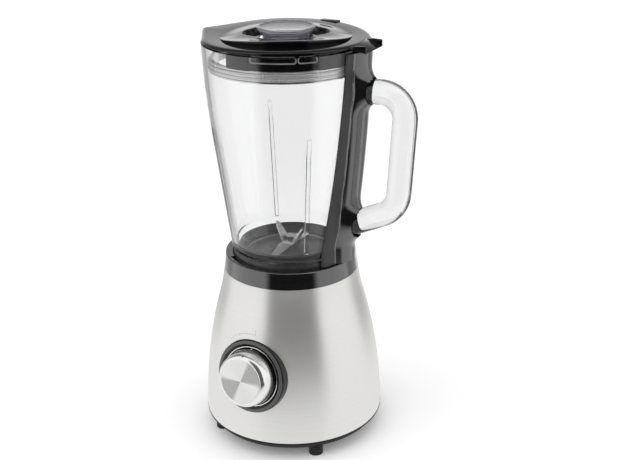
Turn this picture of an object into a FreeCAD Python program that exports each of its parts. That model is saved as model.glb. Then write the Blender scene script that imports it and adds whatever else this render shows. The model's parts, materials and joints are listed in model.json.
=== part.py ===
import FreeCAD, Part
import math
import os
import Sketcher

# Countertop blender: a steel motor base, a pressed-glass jug with a glass handle, and a push-fit lid.
# Millimetres, +Z up. The origin is on the motor axis at table level. The knob faces -Y,
# the jug's handle points to +X and its spout to -X.

doc = FreeCAD.newDocument("CountertopBlender")
sheet = doc.addObject("Spreadsheet::Sheet", "Sizes")

# ---------------------------------------------------------------- driving dimensions
SIZES = (
    # general
    ("fit_gap", 0.3, "clearance between pieces that lift or turn past each other"),
    ("running_fit", 0.04, "radial clearance of a shaft in its bearing"),
    # base shell
    ("shell_wall", 0.8, "sheet steel of the base shell"),
    ("shell_foot_radius", 90.6, "shell radius at its lower edge"),
    ("shell_foot_level", 20.0, "height of the shell's lower edge"),
    ("shell_waist_radius", 73.0, "shell radius where its curve turns"),
    ("shell_waist_level", 146.0, "height where its curve turns"),
    ("shell_top_radius", 67.1, "shell radius under the seat ring"),
    ("shell_top_level", 175.2, "height of the shell's top"),
    ("shell_belly_bend", 480.0, "radius of the convex side"),
    ("shell_neck_bend", 160.0, "radius of the concave neck"),
    ("shell_flange_width", 7.0, "inward flange that carries the seat ring"),
    # base plate and feet
    ("plate_level", 12.0, "underside of the base plate"),
    ("plate_floor", 2.5, "thickness of the base plate's floor"),
    ("plate_inset", 5.3, "how far the plate's underside stays inside the shell's lower edge"),
    ("plate_lip", 1.0, "lip under the shell's edge"),
    ("plate_rim_height", 9.0, "rim that stands inside the shell"),
    ("plate_wall", 2.2, "thickness of that rim"),
    ("vent_width", 3.0, "width of an air slot"),
    ("vent_length", 22.0, "length of an air slot"),
    ("vent_radius", 27.0, "distance of the air slots from the axis"),
    ("vent_count", 12.0, "number of air slots"),
    ("foot_radius", 7.2, "radius of a rubber foot"),
    ("foot_inset", 8.0, "distance of the feet from the edge of the plate's underside"),
    ("foot_stem", 3.5, "radius of the stem that snaps into the plate"),
    # inner frame
    ("pillar_radius", 4.5, "radius of the frame's pillars"),
    ("pillar_inset", 11.2, "distance of the pillars from the shell's top edge"),
    ("frame_plate", 3.8, "thickness of the frame's top plate"),
    ("frame_inset", 4.7, "distance of the frame's top plate from the shell's top edge"),
    ("frame_opening", 24.0, "radius of the hole around the drive coupling"),
    ("screw_shank", 1.6, "radius of a plate screw"),
    ("screw_head", 3.4, "radius of its head"),
    ("head_height", 1.6, "height of its head"),
    ("screw_reach", 12.0, "depth of a plate screw in its pillar"),
    # seat ring
    ("seat_setback", 0.2, "how far the seat ring stands back from the shell's top edge"),
    ("seat_lean", 1.7, "how far the seat ring leans in"),
    ("seat_rim", 7.5, "width of the seat ring's top"),
    ("seat_height", 16.5, "height of the seat ring"),
    ("seat_floor", 4.5, "thickness of the well's floor"),
    ("seat_spigot", 3.4, "depth of the spigot inside the shell's flange"),
    ("seat_hole", 22.0, "radius of the hole for the drive coupling"),
    ("seat_round", 1.0, "rounding of the ring's edges"),
    ("notch_depth", 3.2, "depth of the notches in the ring's inner lip"),
    ("notch_width", 21.0, "width of a notch"),
    ("notch_reach", 4.0, "how far a notch cuts into the lip"),
    ("notch_turn", -32.5, "angle of the first notch from -Y towards +X"),
    # motor
    ("shaft_radius", 4.0, "motor and blade shaft"),
    ("shaft_foot_level", 28.0, "lower end of the motor shaft"),
    ("bearing_radius", 11.0, "outer radius of a motor bearing"),
    ("bearing_width", 7.0, "width of a motor bearing"),
    ("bearing_bore", 4.04, "bore radius of a motor bearing"),
    ("stator_radius", 46.0, "outer radius of the laminations"),
    ("stator_bore", 27.3, "bore of the laminations"),
    ("stator_level", 92.0, "underside of the laminations"),
    ("stator_height", 40.0, "height of the stack"),
    ("coil_inner", 28.8, "inner radius of a field coil"),
    ("coil_outer", 37.0, "outer radius of a field coil"),
    ("coil_overhang", 8.0, "how far a coil stands out of the stack"),
    ("coil_leg_angle", 17.0, "angle that a coil's leg takes"),
    ("coil_gap", 0.2, "insulation between a coil and the stack"),
    ("air_gap", 0.6, "gap between the armature and the stator"),
    ("slot_count", 12.0, "slots in the armature"),
    ("slot_width", 5.0, "width of an armature slot"),
    ("slot_depth", 8.0, "depth of an armature slot"),
    ("slot_mouth", 1.6, "lip that closes a slot"),
    ("winding_radius", 23.0, "radius of the winding heads"),
    ("winding_head", 10.0, "height of a winding head"),
    ("commutator_radius", 12.0, "radius of the commutator"),
    ("commutator_level", 62.0, "lower end of the commutator"),
    ("commutator_height", 14.0, "length of the commutator"),
    ("bracket_wall", 2.5, "wall of the motor's end brackets"),
    ("bracket_plate", 4.0, "plate of the motor's end brackets"),
    ("lower_bracket_level", 49.0, "underside of the lower bracket"),
    ("upper_bracket_top", 150.0, "top of the upper bracket's plate"),
    ("boss_wall", 3.5, "wall around a bearing"),
    ("window_width", 40.0, "width of the openings in the brackets"),
    ("mount_ring", 40.0, "distance of the rubber mounts from the axis"),
    ("mount_radius", 6.0, "radius of a rubber mount"),
    ("mount_height", 8.0, "height of a rubber mount"),
    ("bolt_ring", 41.0, "distance of the long motor bolts from the axis"),
    ("bolt_radius", 2.0, "radius of a long motor bolt"),
    ("bolt_head", 1.75, "bolt head radius over shank radius"),
    ("fan_radius", 36.0, "radius of the cooling fan"),
    ("fan_level", 31.0, "underside of the fan"),
    ("fan_height", 11.0, "height of the fan's blades"),
    ("fan_disc", 1.6, "thickness of the fan's disc"),
    ("fan_hub", 9.0, "radius of the fan's hub"),
    ("fan_blades", 9.0, "number of fan blades"),
    ("fan_blade", 1.4, "thickness of a fan blade"),
    ("brush_width", 6.0, "width of a carbon brush"),
    ("brush_height", 9.0, "height of a carbon brush"),
    ("brush_length", 16.0, "length of a carbon brush"),
    ("holder_wall", 1.5, "wall of a brush holder"),
    ("holder_end", 41.0, "outer end of a brush holder"),
    # drive couplings
    ("coupling_radius", 16.0, "radius of the drive couplings"),
    ("coupling_disc", 5.0, "thickness of the drive coupling's disc"),
    ("coupling_hub", 8.0, "radius of the drive coupling's hub"),
    ("coupling_top", 180.7, "height of the drive coupling's lugs"),
    ("lug_height", 5.0, "height of a coupling lug"),
    ("lug_width", 6.0, "width of a coupling lug"),
    ("lug_count", 4.0, "lugs on each coupling"),
    ("coupling_play", 0.3, "gap between the couplings along the axis"),
    # jug
    ("collar_level", 180.0, "underside of the jug's collar"),
    ("collar_shoulder", 13.6, "height of the collar's straight side"),
    ("collar_floor", 3.0, "thickness of the collar's floor"),
    ("collar_skirt", 2.0, "skirt under the collar's floor"),
    ("collar_skirt_wall", 3.4, "wall of that skirt"),
    ("collar_top_level", 197.2, "top of the collar"),
    ("collar_ledge", 5.8, "width of the ledge inside the collar that carries the blade holder"),
    ("holder_flange", 3.0, "flange of the blade holder"),
    ("gasket_height", 2.0, "thickness of the gasket"),
    ("glass_wall", 4.0, "wall of the jug"),
    ("glass_foot_inset", 1.4, "how far the jug's foot stays inside the collar"),
    ("glass_foot_level", 197.5, "height where the glass meets the collar"),
    ("glass_foot_round", 6.5, "height of the rounding above the foot"),
    ("glass_foot_bend", 8.0, "radius of that rounding"),
    ("glass_neck_step", 5.0, "step from the jug's foot to its neck in the collar"),
    ("glass_neck_wall", 5.2, "wall of that neck around the opening for the blades"),
    ("glass_foot_flare", 2.8, "how far the jug flares out over its foot"),
    ("glass_side_radius", 72.3, "radius where the straight side ends"),
    ("glass_side_level", 307.5, "height where the straight side ends"),
    ("glass_rim_radius", 79.7, "radius of the rim"),
    ("glass_rim_level", 402.0, "height of the rim"),
    ("glass_side_bend", 900.0, "radius of the upper side"),
    ("rib_depth", 3.2, "how far a rib stands into the jug"),
    ("rib_width", 3.6, "width of a rib"),
    ("rib_foot_level", 207.0, "lower end of the ribs"),
    ("rib_top_level", 326.0, "top of the ribs"),
    ("spout_radius", 17.0, "radius of the pouring spout"),
    ("spout_inset", 8.2, "how far the spout's centre at the rim stays inside the rim"),
    ("spout_root_radius", 14.0, "radius of the spout's root"),
    ("spout_run", 9.5, "how far the spout's centre moves in from the rim to its root"),
    ("spout_depth", 40.0, "height of the spout"),
    # handle
    ("handle_radius", 11.8, "radius of the glass handle"),
    ("handle_top_level", 362.4, "height of the upper root"),
    ("handle_out", 123.4, "distance of the upper corner"),
    ("handle_low_out", 115.7, "distance of the lower corner"),
    ("handle_low_level", 251.8, "height of the lower corner"),
    ("handle_root_out", 60.0, "inner end of the lower root"),
    ("handle_root_level", 225.6, "height of the inner end of the lower root"),
    ("handle_top_bend", 22.5, "bend of the upper corner"),
    ("handle_low_bend", 28.0, "bend of the lower corner"),
    # spine
    ("spine_gap", 0.3, "clearance between the spine and the glass"),
    ("spine_flange", 2.4, "thickness of the spine's side flanges"),
    ("spine_half_top", 26.2, "half width of the spine at its top"),
    ("spine_half_foot", 31.5, "half width of the spine at its foot"),
    ("spine_top_level", 399.5, "top of the spine"),
    ("spine_foot_level", 192.3, "foot of the spine"),
    ("spine_body_half", 18.5, "half width of the spine's raised body"),
    ("spine_low_rise", 7.1, "height of the raised body over the lower glass"),
    ("spine_top_rise", 9.8, "height of the raised body over the glass at its top"),
    ("spine_body_round", 24.0, "radius of the raised body's back"),
    ("spine_boss", 16.5, "radius of the flare around a handle root"),
    ("spine_boss_upper", 33.0, "length of the upper flare from the handle's inner end"),
    ("spine_boss_lower", 20.0, "length of the lower flare from the handle's inner end"),
    ("spine_sweep", 80.0, "angle that the spine's flanges are turned through"),
    ("spine_screw_low", 262.0, "height of the lower spine screw"),
    ("spine_screw_high", 325.0, "height of the upper spine screw"),
    ("spine_screw_length", 30.0, "length of a spine screw"),
    ("spine_apron_inset", 0.9, "how far the apron over the seat ring stays inside its edge"),
    ("spine_apron_height", 9.0, "height of that apron"),
    ("spine_screw_radius", 1.5, "radius of a spine screw"),
    # lid
    ("lid_plate", 3.0, "thickness of the lid's flange"),
    ("lid_inset", 0.8, "how far the lid's flange stays inside the jug's rim"),
    ("lid_level", 402.3, "underside of the lid's flange"),
    ("lid_wall", 2.2, "wall of the dome and the skirt"),
    ("lid_edge_round", 0.8, "rounding of the lid's and the cap's edges"),
    ("lid_margin", 16.9, "flat rim between the flange's edge and the dome"),
    ("dome_lean", 7.5, "how far the dome leans in"),
    ("dome_rise", 3.9, "height of the dome"),
    ("dome_bend", 9.5, "radius of the dome's shoulder"),
    ("skirt_clearance", 0.48, "clearance between the jug and the foot of the lid's skirt"),
    ("skirt_depth", 13.6, "depth of the skirt"),
    ("seal_land", 11.2, "depth of the band that carries the seal"),
    ("seal_band", 1.6, "thickness of the seal's band"),
    ("seal_ridge", 1.4, "height of a seal ridge"),
    ("seal_pitch", 4.0, "distance between the seal's ridges"),
    ("seal_lip", 1.7, "lip under the seal"),
    ("skirt_gap_angle", 147.0, "angle of the skirt's opening at the spout"),
    ("beak_overhang", 13.0, "reach of the beak past the jug's rim"),
    ("beak_round", 3.0, "rounding of the beak's tip"),
    ("tongue_overhang", 10.8, "reach of the tongue past the jug's rim"),
    ("tongue_root_half", 21.0, "half width of the tongue at the flange"),
    ("tongue_end_half", 18.0, "half width of the tongue at its end"),
    ("wing_height", 1.4, "height of the tongue's wings over the flange"),
    ("wing_width", 2.6, "width of a wing"),
    ("ramp_drop", 5.4, "drop of the tongue's ramp"),
    ("tab_width", 20.0, "width of the lid's lifting tab"),
    ("tab_height", 1.6, "height of the lifting tab"),
    ("tab_turn", -6.0, "angle of the lifting tab from +Y towards -X"),
    ("scoop_radius", 10.5, "radius of a finger scoop"),
    ("scoop_ring", 29.5, "distance of a scoop from the axis"),
    ("scoop_depth", 2.0, "depth of a scoop"),
    ("scoop_turn", -60.0, "angle of the first scoop from -Y towards +X"),
    # measuring cap
    ("cap_bore", 23.6, "hole in the lid for the cap"),
    ("cap_radius", 27.5, "radius of the cap's disc"),
    ("cap_disc", 2.5, "thickness of the cap's disc"),
    ("cap_neck", 3.0, "height of the neck under the cap's disc"),
    ("cap_neck_radius", 25.4, "radius of that neck"),
    ("cap_stem_radius", 22.0, "radius of the cap's cup"),
    ("cap_wall", 2.0, "wall of the cap's cup"),
    ("cap_depth", 28.0, "depth of the cap's cup"),
    # blades
    ("hub_radius", 10.0, "radius of the blade holder's hub"),
    ("hub_rise", 10.0, "height of the hub over the flange"),
    ("bush_radius", 6.5, "outer radius of a shaft bush"),
    ("bush_length", 6.0, "length of a shaft bush"),
    ("blade_thickness", 1.5, "steel of the blades"),
    ("blade_width", 13.0, "width of a blade at its root"),
    ("blade_tip_width", 6.0, "width of a blade at its tip"),
    ("blade_flat", 8.0, "flat middle of the upper blade"),
    ("upper_blade_length", 18.0, "length of an upper arm"),
    ("upper_blade_angle", 62.0, "rise of an upper arm"),
    ("lower_blade_flat", 15.0, "flat middle of the lower blade"),
    ("lower_blade_length", 23.0, "length of a lower arm"),
    ("lower_blade_angle", -9.0, "rise of a lower arm"),
    ("nut_radius", 6.0, "radius of the blade nut"),
    ("nut_height", 4.0, "height of the blade nut"),
    ("washer_radius", 5.4, "radius of the lock washer under the nut"),
    ("washer_height", 0.8, "thickness of that washer"),
    ("jug_coupling_disc", 3.5, "thickness of the jug coupling's disc"),
    # knob group, along the knob's own axis
    ("knob_tilt", 10.0, "how far the knob's axis tips up"),
    ("knob_level", 86.7, "height of the knob's foot plane"),
    ("knob_seat", 79.9, "distance of the knob's foot plane from the motor axis"),
    ("bezel_radius", 37.1, "radius of the bezel"),
    ("bezel_height", 7.4, "height of the bezel"),
    ("bezel_depth", 9.0, "depth of the bezel inside the shell"),
    ("bezel_floor", 3.0, "level of the bezel's floor"),
    ("bezel_plate", 2.5, "thickness of that floor"),
    ("bezel_wall", 6.0, "wall of the bezel's ring"),
    ("bezel_lip_radius", 30.4, "inner edge of the bezel's face"),
    ("bezel_edge_height", 5.0, "height of the bezel's outer edge"),
    ("bezel_recess_radius", 28.9, "recess around the knob"),
    ("trim_width", 0.9, "width of the bright trim ring"),
    ("knob_skirt_radius", 28.4, "radius of the knob's black skirt"),
    ("knob_skirt_level", 4.5, "height of the skirt's lower edge"),
    ("knob_radius", 26.7, "radius of the knob"),
    ("knob_cap_level", 11.7, "height where the metal cap starts"),
    ("knob_top", 24.8, "height of the knob's face"),
    ("knob_bevel", 1.2, "bevel around the knob's face"),
    ("knob_shell", 2.0, "wall of the knob's metal cap"),
    ("spindle_radius", 3.0, "radius of the switch spindle"),
    ("bush_thread", 4.5, "radius of the switch's threaded bush"),
    ("switch_side", 28.0, "side of the rotary switch"),
    ("switch_depth", 16.0, "depth of the rotary switch"),
    ("switch_nut", 7.0, "radius of the switch nut"),
    ("switch_nut_height", 1.2, "height of the switch nut"),
    # interlock
    ("pin_radius", 2.0, "radius of the interlock pin"),
    ("pin_inset", 9.4, "distance of the interlock pin from the collar's edge"),
    ("pin_rise", 2.0, "how far the pin stands over the well's floor"),
    ("pin_travel", 3.0, "travel of the interlock pin"),
    ("pin_collar", 3.4, "radius of the pin's collar"),
    ("pin_collar_height", 1.5, "height of the pin's collar"),
    ("spring_wire", 0.35, "radius of the spring wire"),
    ("spring_turns", 5.0, "turns of a spring"),
    ("micro_switch_width", 20.0, "width of the switch under the pin"),
    ("micro_switch_side", 10.0, "depth and height of that switch"),
    # electrics
    ("board_width", 50.0, "width of the circuit board"),
    ("board_height", 56.0, "height of the circuit board"),
    ("board_thickness", 1.6, "thickness of the circuit board"),
    ("board_inset", 23.0, "distance of the circuit board from the edge of the plate's underside"),
    ("board_post", 5.0, "side of the posts that hold the board"),
    ("component_height", 9.0, "height of the board's larger components"),
    ("inlet_radius", 5.0, "radius of the cord hole in the inlet bush"),
    ("inlet_level", 40.0, "height of the cord inlet"),
    ("inlet_length", 12.0, "length of the inlet bush"),
)


class Size:
    """A number together with the spreadsheet expression that it comes from."""

    def __init__(self, value, text):
        self.value = float(value)
        self.text = text

    def __add__(self, other):
        other = as_size(other)
        return Size(self.value + other.value, f"({self.text} + {other.text})")

    def __sub__(self, other):
        other = as_size(other)
        return Size(self.value - other.value, f"({self.text} - {other.text})")

    def __mul__(self, other):
        other = as_size(other)
        return Size(self.value * other.value, f"({self.text} * {other.text})")

    def __truediv__(self, other):
        other = as_size(other)
        return Size(self.value / other.value, f"({self.text} / {other.text})")

    def __neg__(self):
        return Size(-self.value, f"(0 - {self.text})")

    __radd__ = __add__
    __rmul__ = __mul__

    def __rsub__(self, other):
        return as_size(other) - self


def as_size(number):
    """Wrap a plain number, and leave a Size as it is."""
    if isinstance(number, Size):
        return number
    return Size(number, repr(float(number)))


def sine(angle):
    """Sine of an angle in degrees."""
    angle = as_size(angle)
    return Size(math.sin(math.radians(angle.value)), f"sin({angle.text})")


def cosine(angle):
    """Cosine of an angle in degrees."""
    angle = as_size(angle)
    return Size(math.cos(math.radians(angle.value)), f"cos({angle.text})")


def tangent(angle):
    """Tangent of an angle in degrees."""
    angle = as_size(angle)
    return Size(math.tan(math.radians(angle.value)), f"tan({angle.text})")


def square_root(number):
    """Square root."""
    return Size(math.sqrt(number.value), f"sqrt({number.text})")


class Sheet:
    """The driving dimensions, as attributes."""


mm = Sheet()
for row, (alias, value, meaning) in enumerate(SIZES, start=1):
    sheet.set(f"A{row}", meaning)
    sheet.set(f"B{row}", repr(value))
    sheet.setAlias(f"B{row}", alias)
    setattr(mm, alias, Size(value, f"Sizes.{alias}"))
doc.recompute()


# ---------------------------------------------------------------- drawing helpers
def bind(thing, name, size):
    """Set a property, and tie it to the spreadsheet where it comes from there."""
    size = as_size(size)
    if "Sizes." in size.text:
        thing.setExpression(name, size.text)
    else:
        thing.setExpression(name, None)
    return size.value


def new_body(name):
    """An empty body with its own label."""
    body = doc.addObject("PartDesign::Body", name)
    body.Label = name
    return body


def origin_feature(body, role):
    """One of a body's own origin planes or axes."""
    for feature in body.Origin.OriginFeatures:
        if feature.Role == role:
            return feature
    raise RuntimeError(f"{body.Label} has no {role}")


def new_sketch(body, name, plane, lift=0, turn=0, turn_axis=(0, 1, 0), shift=(0, 0)):
    """A sketch on one of the body's planes, moved out by lift, along it by shift, and turned in degrees."""
    sketch = body.newObject("Sketcher::SketchObject", f"{body.Name}_{name}")
    sketch.AttachmentSupport = [(origin_feature(body, plane), "")]
    sketch.MapMode = "FlatFace"
    lift = as_size(lift)
    turn = as_size(turn)
    rotation = FreeCAD.Rotation(FreeCAD.Vector(*turn_axis), turn.value)
    offset = (as_size(shift[0]), as_size(shift[1]), lift)
    spot = FreeCAD.Vector(*(size.value for size in offset))
    sketch.AttachmentOffset = FreeCAD.Placement(spot, rotation)
    for name, size in zip("xyz", offset):
        if "Sizes." in size.text:
            sketch.setExpression(f"AttachmentOffset.Base.{name}", size.text)
    if "Sizes." in turn.text:
        sketch.setExpression("AttachmentOffset.Rotation.Angle", turn.text)
    return sketch


def dimension(sketch, kind, size, *where):
    """One dimension of a sketch, tied to the spreadsheet."""
    size = as_size(size)
    index = sketch.addConstraint(Sketcher.Constraint(kind, *where, size.value))
    if "Sizes." in size.text:
        sketch.setExpression(f"Constraints[{index}]", size.text)


def arc_edge(start, end, radius):
    """An arc between two points; a positive radius bulges to the right of the way from start to end.

    Returns the geometry, and which of its ends (1 or 2) lie on start and on end."""
    chord = end - start
    half = chord.Length / 2
    bend = abs(radius)
    right = FreeCAD.Vector(chord.y, -chord.x, 0).normalize()
    side = 1 if radius > 0 else -1
    centre = (start + end) * 0.5 - right * side * math.sqrt(bend * bend - half * half)
    first, last = (start, end) if radius > 0 else (end, start)
    from_angle = math.atan2(first.y - centre.y, first.x - centre.x)
    to_angle = math.atan2(last.y - centre.y, last.x - centre.x)
    if to_angle < from_angle:
        to_angle += 2 * math.pi
    circle = Part.Circle(centre, FreeCAD.Vector(0, 0, 1), bend)
    ends = (1, 2) if radius > 0 else (2, 1)
    return Part.ArcOfCircle(circle, from_angle, to_angle), ends


def draw_path(sketch, corners, arcs=None, closed=True):
    """Draw straight and round edges through corners; arcs gives the radius of the edge after a corner."""
    arcs = arcs or {}
    corners = [(as_size(across), as_size(up)) for across, up in corners]
    points = [FreeCAD.Vector(across.value, up.value, 0) for across, up in corners]
    count = len(points) if closed else len(points) - 1
    edges = []
    for number in range(count):
        start = points[number]
        end = points[(number + 1) % len(points)]
        if number in arcs:
            radius = as_size(arcs[number])
            geometry, ends = arc_edge(start, end, radius.value)
            index = sketch.addGeometry(geometry)
            size = radius if radius.value > 0 else -radius
            dimension(sketch, "Radius", size, index)
        else:
            index = sketch.addGeometry(Part.LineSegment(start, end))
            ends = (1, 2)
        edges.append((index, ends))
    for number in range(count):
        index, ends = edges[number]
        dimension(sketch, "DistanceX", corners[number][0], -1, 1, index, ends[0])
        dimension(sketch, "DistanceY", corners[number][1], -1, 1, index, ends[0])
        if closed or number + 1 < count:
            following, next_ends = edges[(number + 1) % count]
            joint = Sketcher.Constraint("Coincident", index, ends[1], following, next_ends[0])
            sketch.addConstraint(joint)
    if not closed:
        index, ends = edges[-1]
        dimension(sketch, "DistanceX", corners[-1][0], -1, 1, index, ends[1])
        dimension(sketch, "DistanceY", corners[-1][1], -1, 1, index, ends[1])


def draw_circle(sketch, across, up, radius):
    """Draw a circle."""
    centre = FreeCAD.Vector(as_size(across).value, as_size(up).value, 0)
    circle = Part.Circle(centre, FreeCAD.Vector(0, 0, 1), as_size(radius).value)
    index = sketch.addGeometry(circle)
    dimension(sketch, "Radius", radius, index)
    dimension(sketch, "DistanceX", across, -1, 1, index, 3)
    dimension(sketch, "DistanceY", up, -1, 1, index, 3)


def draw_box(sketch, left, low, right, high):
    """Draw an upright rectangle."""
    draw_path(sketch, [(left, low), (right, low), (right, high), (left, high)])


# ---------------------------------------------------------------- feature helpers
def volume_of(body):
    """Volume of what the body holds now."""
    return body.Shape.Volume if not body.Shape.isNull() else 0.0


def finish_feature(body, feature, grows):
    """Recompute, and make sure that the feature really added or removed material."""
    before = volume_of(body)
    doc.recompute()
    change = volume_of(body) - before
    if (change > 0) != grows or abs(change) < 1e-6:
        raise RuntimeError(f"{feature.Name} changes the volume of {body.Label} by {change:.3f}")
    return feature


def turned(body, sketch, kind, grows, angle, midplane, axis):
    """A revolved feature about the sketch's own axis."""
    feature = body.newObject(kind, f"{sketch.Name}_turned")
    feature.Profile = sketch
    feature.ReferenceAxis = (sketch, [axis])
    feature.Angle = as_size(angle).value
    if "Sizes." in as_size(angle).text:
        feature.setExpression("Angle", as_size(angle).text)
    feature.Midplane = midplane
    return finish_feature(body, feature, grows)


def revolve(body, sketch, angle=360, midplane=False, axis="V_Axis"):
    """Add a turned shape."""
    return turned(body, sketch, "PartDesign::Revolution", True, angle, midplane, axis)


def groove(body, sketch, angle=360, midplane=False, axis="V_Axis"):
    """Cut a turned shape."""
    return turned(body, sketch, "PartDesign::Groove", False, angle, midplane, axis)


def pad(body, sketch, length, midplane=False, reverse=False):
    """Add an extruded shape."""
    feature = body.newObject("PartDesign::Pad", f"{sketch.Name}_pad")
    feature.Profile = sketch
    feature.Length = as_size(length).value
    bind(feature, "Length", length)
    feature.Midplane = midplane
    feature.Reversed = reverse
    return finish_feature(body, feature, True)


def pocket(body, sketch, length=None, midplane=False, reverse=False):
    """Cut an extruded shape, through everything where no length is given."""
    feature = body.newObject("PartDesign::Pocket", f"{sketch.Name}_pocket")
    feature.Profile = sketch
    if length is None:
        feature.Type = "ThroughAll"
    else:
        feature.Length = as_size(length).value
        bind(feature, "Length", length)
    feature.Midplane = midplane
    feature.Reversed = reverse
    return finish_feature(body, feature, False)


def repeat_around(body, features, count):
    """Repeat features around the body's Z axis."""
    pattern = body.newObject("PartDesign::PolarPattern", f"{features[-1].Name}_ring")
    pattern.Originals = list(features)
    pattern.Axis = (origin_feature(body, "Z_Axis"), [""])
    pattern.Angle = 360
    pattern.Occurrences = int(as_size(count).value)
    if "Sizes." in as_size(count).text:
        pattern.setExpression("Occurrences", as_size(count).text)
    body.Tip = pattern
    doc.recompute()
    return pattern


def pipe(body, name, path, sections, additive=True):
    """Carry a section along a path, or loft between sections where path is None."""
    if path is None:
        kind = "PartDesign::AdditiveLoft" if additive else "PartDesign::SubtractiveLoft"
        feature = body.newObject(kind, f"{body.Name}_{name}")
        feature.Profile = sections[0]
        feature.Sections = sections[1:]
    else:
        kind = "PartDesign::AdditivePipe" if additive else "PartDesign::SubtractivePipe"
        feature = body.newObject(kind, f"{body.Name}_{name}")
        feature.Profile = sections[0]
        feature.Spine = path
    return finish_feature(body, feature, additive)


def simple(kind, name, **properties):
    """A Part primitive or boolean with its properties tied to the spreadsheet."""
    thing = doc.addObject(kind, name)
    thing.Label = name
    for key, given in properties.items():
        if isinstance(given, (Size, int, float)):
            setattr(thing, key, as_size(given).value)
            bind(thing, key, given)
        else:
            setattr(thing, key, given)
    return thing


def place(thing, across=0, along=0, up=0):
    """Tie a thing's position to the spreadsheet."""
    spot = FreeCAD.Vector(as_size(across).value, as_size(along).value, as_size(up).value)
    thing.Placement = FreeCAD.Placement(spot, thing.Placement.Rotation)
    for name, size in (("x", across), ("y", along), ("z", up)):
        if "Sizes." in as_size(size).text:
            thing.setExpression(f"Placement.Base.{name}", size.text)
    return thing


def around(radius, angle):
    """X and Y of a point at an angle from -Y towards +X."""
    return radius * sine(angle), -(radius * cosine(angle))


NODES = []


def keep(thing, name=None):
    """List a finished sub-part for export under its label."""
    if name:
        thing.Label = name
    NODES.append(thing)
    return thing


# ---------------------------------------------------------------- levels and radii worked out
plate_floor_level = mm.plate_level + mm.plate_floor
frame_plate_level = mm.shell_top_level - mm.seat_spigot - mm.frame_plate
plate_floor_radius = mm.shell_foot_radius - mm.plate_inset
foot_ring = plate_floor_radius - mm.foot_inset
board_distance = plate_floor_radius - mm.board_inset
pillar_ring = mm.shell_top_radius - mm.pillar_inset
frame_radius = mm.shell_top_radius - mm.frame_inset
seat_foot_radius = mm.shell_top_radius - mm.seat_setback
seat_top_radius = seat_foot_radius - mm.seat_lean
well_radius = seat_top_radius - mm.seat_rim
collar_radius = well_radius - mm.fit_gap
pin_ring = collar_radius - mm.pin_inset
glass_foot_radius = collar_radius - mm.glass_foot_inset
glass_low_radius = glass_foot_radius + mm.glass_foot_flare
glass_neck_radius = glass_foot_radius - mm.glass_neck_step
glass_mouth_radius = glass_neck_radius - mm.glass_neck_wall
collar_hole = glass_mouth_radius - mm.collar_ledge
spine_apron_radius = seat_top_radius - mm.spine_apron_inset
spout_reach = mm.glass_rim_radius - mm.spout_inset
spout_root_reach = spout_reach - mm.spout_run
lid_radius = mm.glass_rim_radius - mm.lid_inset
dome_foot_radius = lid_radius - mm.lid_margin
dome_top_radius = dome_foot_radius - mm.dome_lean
beak_reach = mm.glass_rim_radius + mm.beak_overhang
tongue_reach = mm.glass_rim_radius + mm.tongue_overhang
well_level = mm.shell_top_level + mm.seat_floor
seat_top_level = mm.shell_top_level + mm.seat_height
stator_top = mm.stator_level + mm.stator_height
upper_bracket_level = mm.upper_bracket_top - mm.bracket_plate
mount_top = mm.upper_bracket_top + mm.mount_height
coupling_disc_level = mm.coupling_top - mm.lug_height - mm.coupling_disc
collar_floor_level = mm.collar_level + mm.collar_skirt
flange_level = collar_floor_level + mm.collar_floor
gasket_level = flange_level + mm.holder_flange
glass_mouth_level = gasket_level + mm.gasket_height
hub_top = gasket_level + mm.hub_rise
blade_level = hub_top + mm.coupling_play
upper_blade_level = blade_level + mm.blade_thickness
washer_level = upper_blade_level + mm.blade_thickness
nut_level = washer_level + mm.washer_height
lid_top = mm.lid_level + mm.lid_plate
dome_top = lid_top + mm.dome_rise
cap_level = dome_top + mm.fit_gap
skirt_level = mm.lid_level - mm.skirt_depth
land_level = skirt_level - mm.seal_land
land_share = (land_level - mm.glass_side_level) / (mm.glass_rim_level - mm.glass_side_level)
glass_at_land = mm.glass_side_radius + (mm.glass_rim_radius - mm.glass_side_radius) * land_share
skirt_radius = glass_at_land - mm.glass_wall - mm.skirt_clearance
land_radius = skirt_radius - mm.seal_band
shaft_hole = mm.shaft_radius + mm.running_fit


def ring_of_boxes(name, width, depth, height, ring, turn, count, level):
    """Equal blocks around the axis, as one body of separate solids."""
    body = new_body(name)
    sketch = new_sketch(body, "block", "XY_Plane", level, turn, (0, 0, 1))
    draw_box(sketch, -(width / 2), -(ring + depth), width / 2, -ring)
    block = pad(body, sketch, height)
    repeat_around(body, [block], count)
    return body


def turned_body(name, corners, arcs=None):
    """A body turned about the Z axis from its half section, given as radius and height."""
    body = new_body(name)
    sketch = new_sketch(body, "section", "XZ_Plane")
    draw_path(sketch, corners, arcs)
    revolve(body, sketch)
    return body


def sleeve(name, outer, inner, level, height):
    """A plain ring."""
    return turned_body(name, [(inner, level), (outer, level), (outer, level + height), (inner, level + height)])


def holes_around(body, name, level, ring, radius, depth, count, turn=0, reverse=False):
    """Round holes around the axis, sunk from a level downwards (or upwards with reverse)."""
    sketch = new_sketch(body, name, "XY_Plane", level)
    across, along = around(ring, turn)
    draw_circle(sketch, across, along, radius)
    hole = pocket(body, sketch, depth, reverse=reverse)
    return repeat_around(body, [hole], count)


def pins_around(body, name, level, ring, radius, height, count, turn=0):
    """Round pins around the axis, standing on a level."""
    sketch = new_sketch(body, name, "XY_Plane", level)
    across, along = around(ring, turn)
    draw_circle(sketch, across, along, radius)
    pin = pad(body, sketch, height)
    return repeat_around(body, [pin], count)


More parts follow.
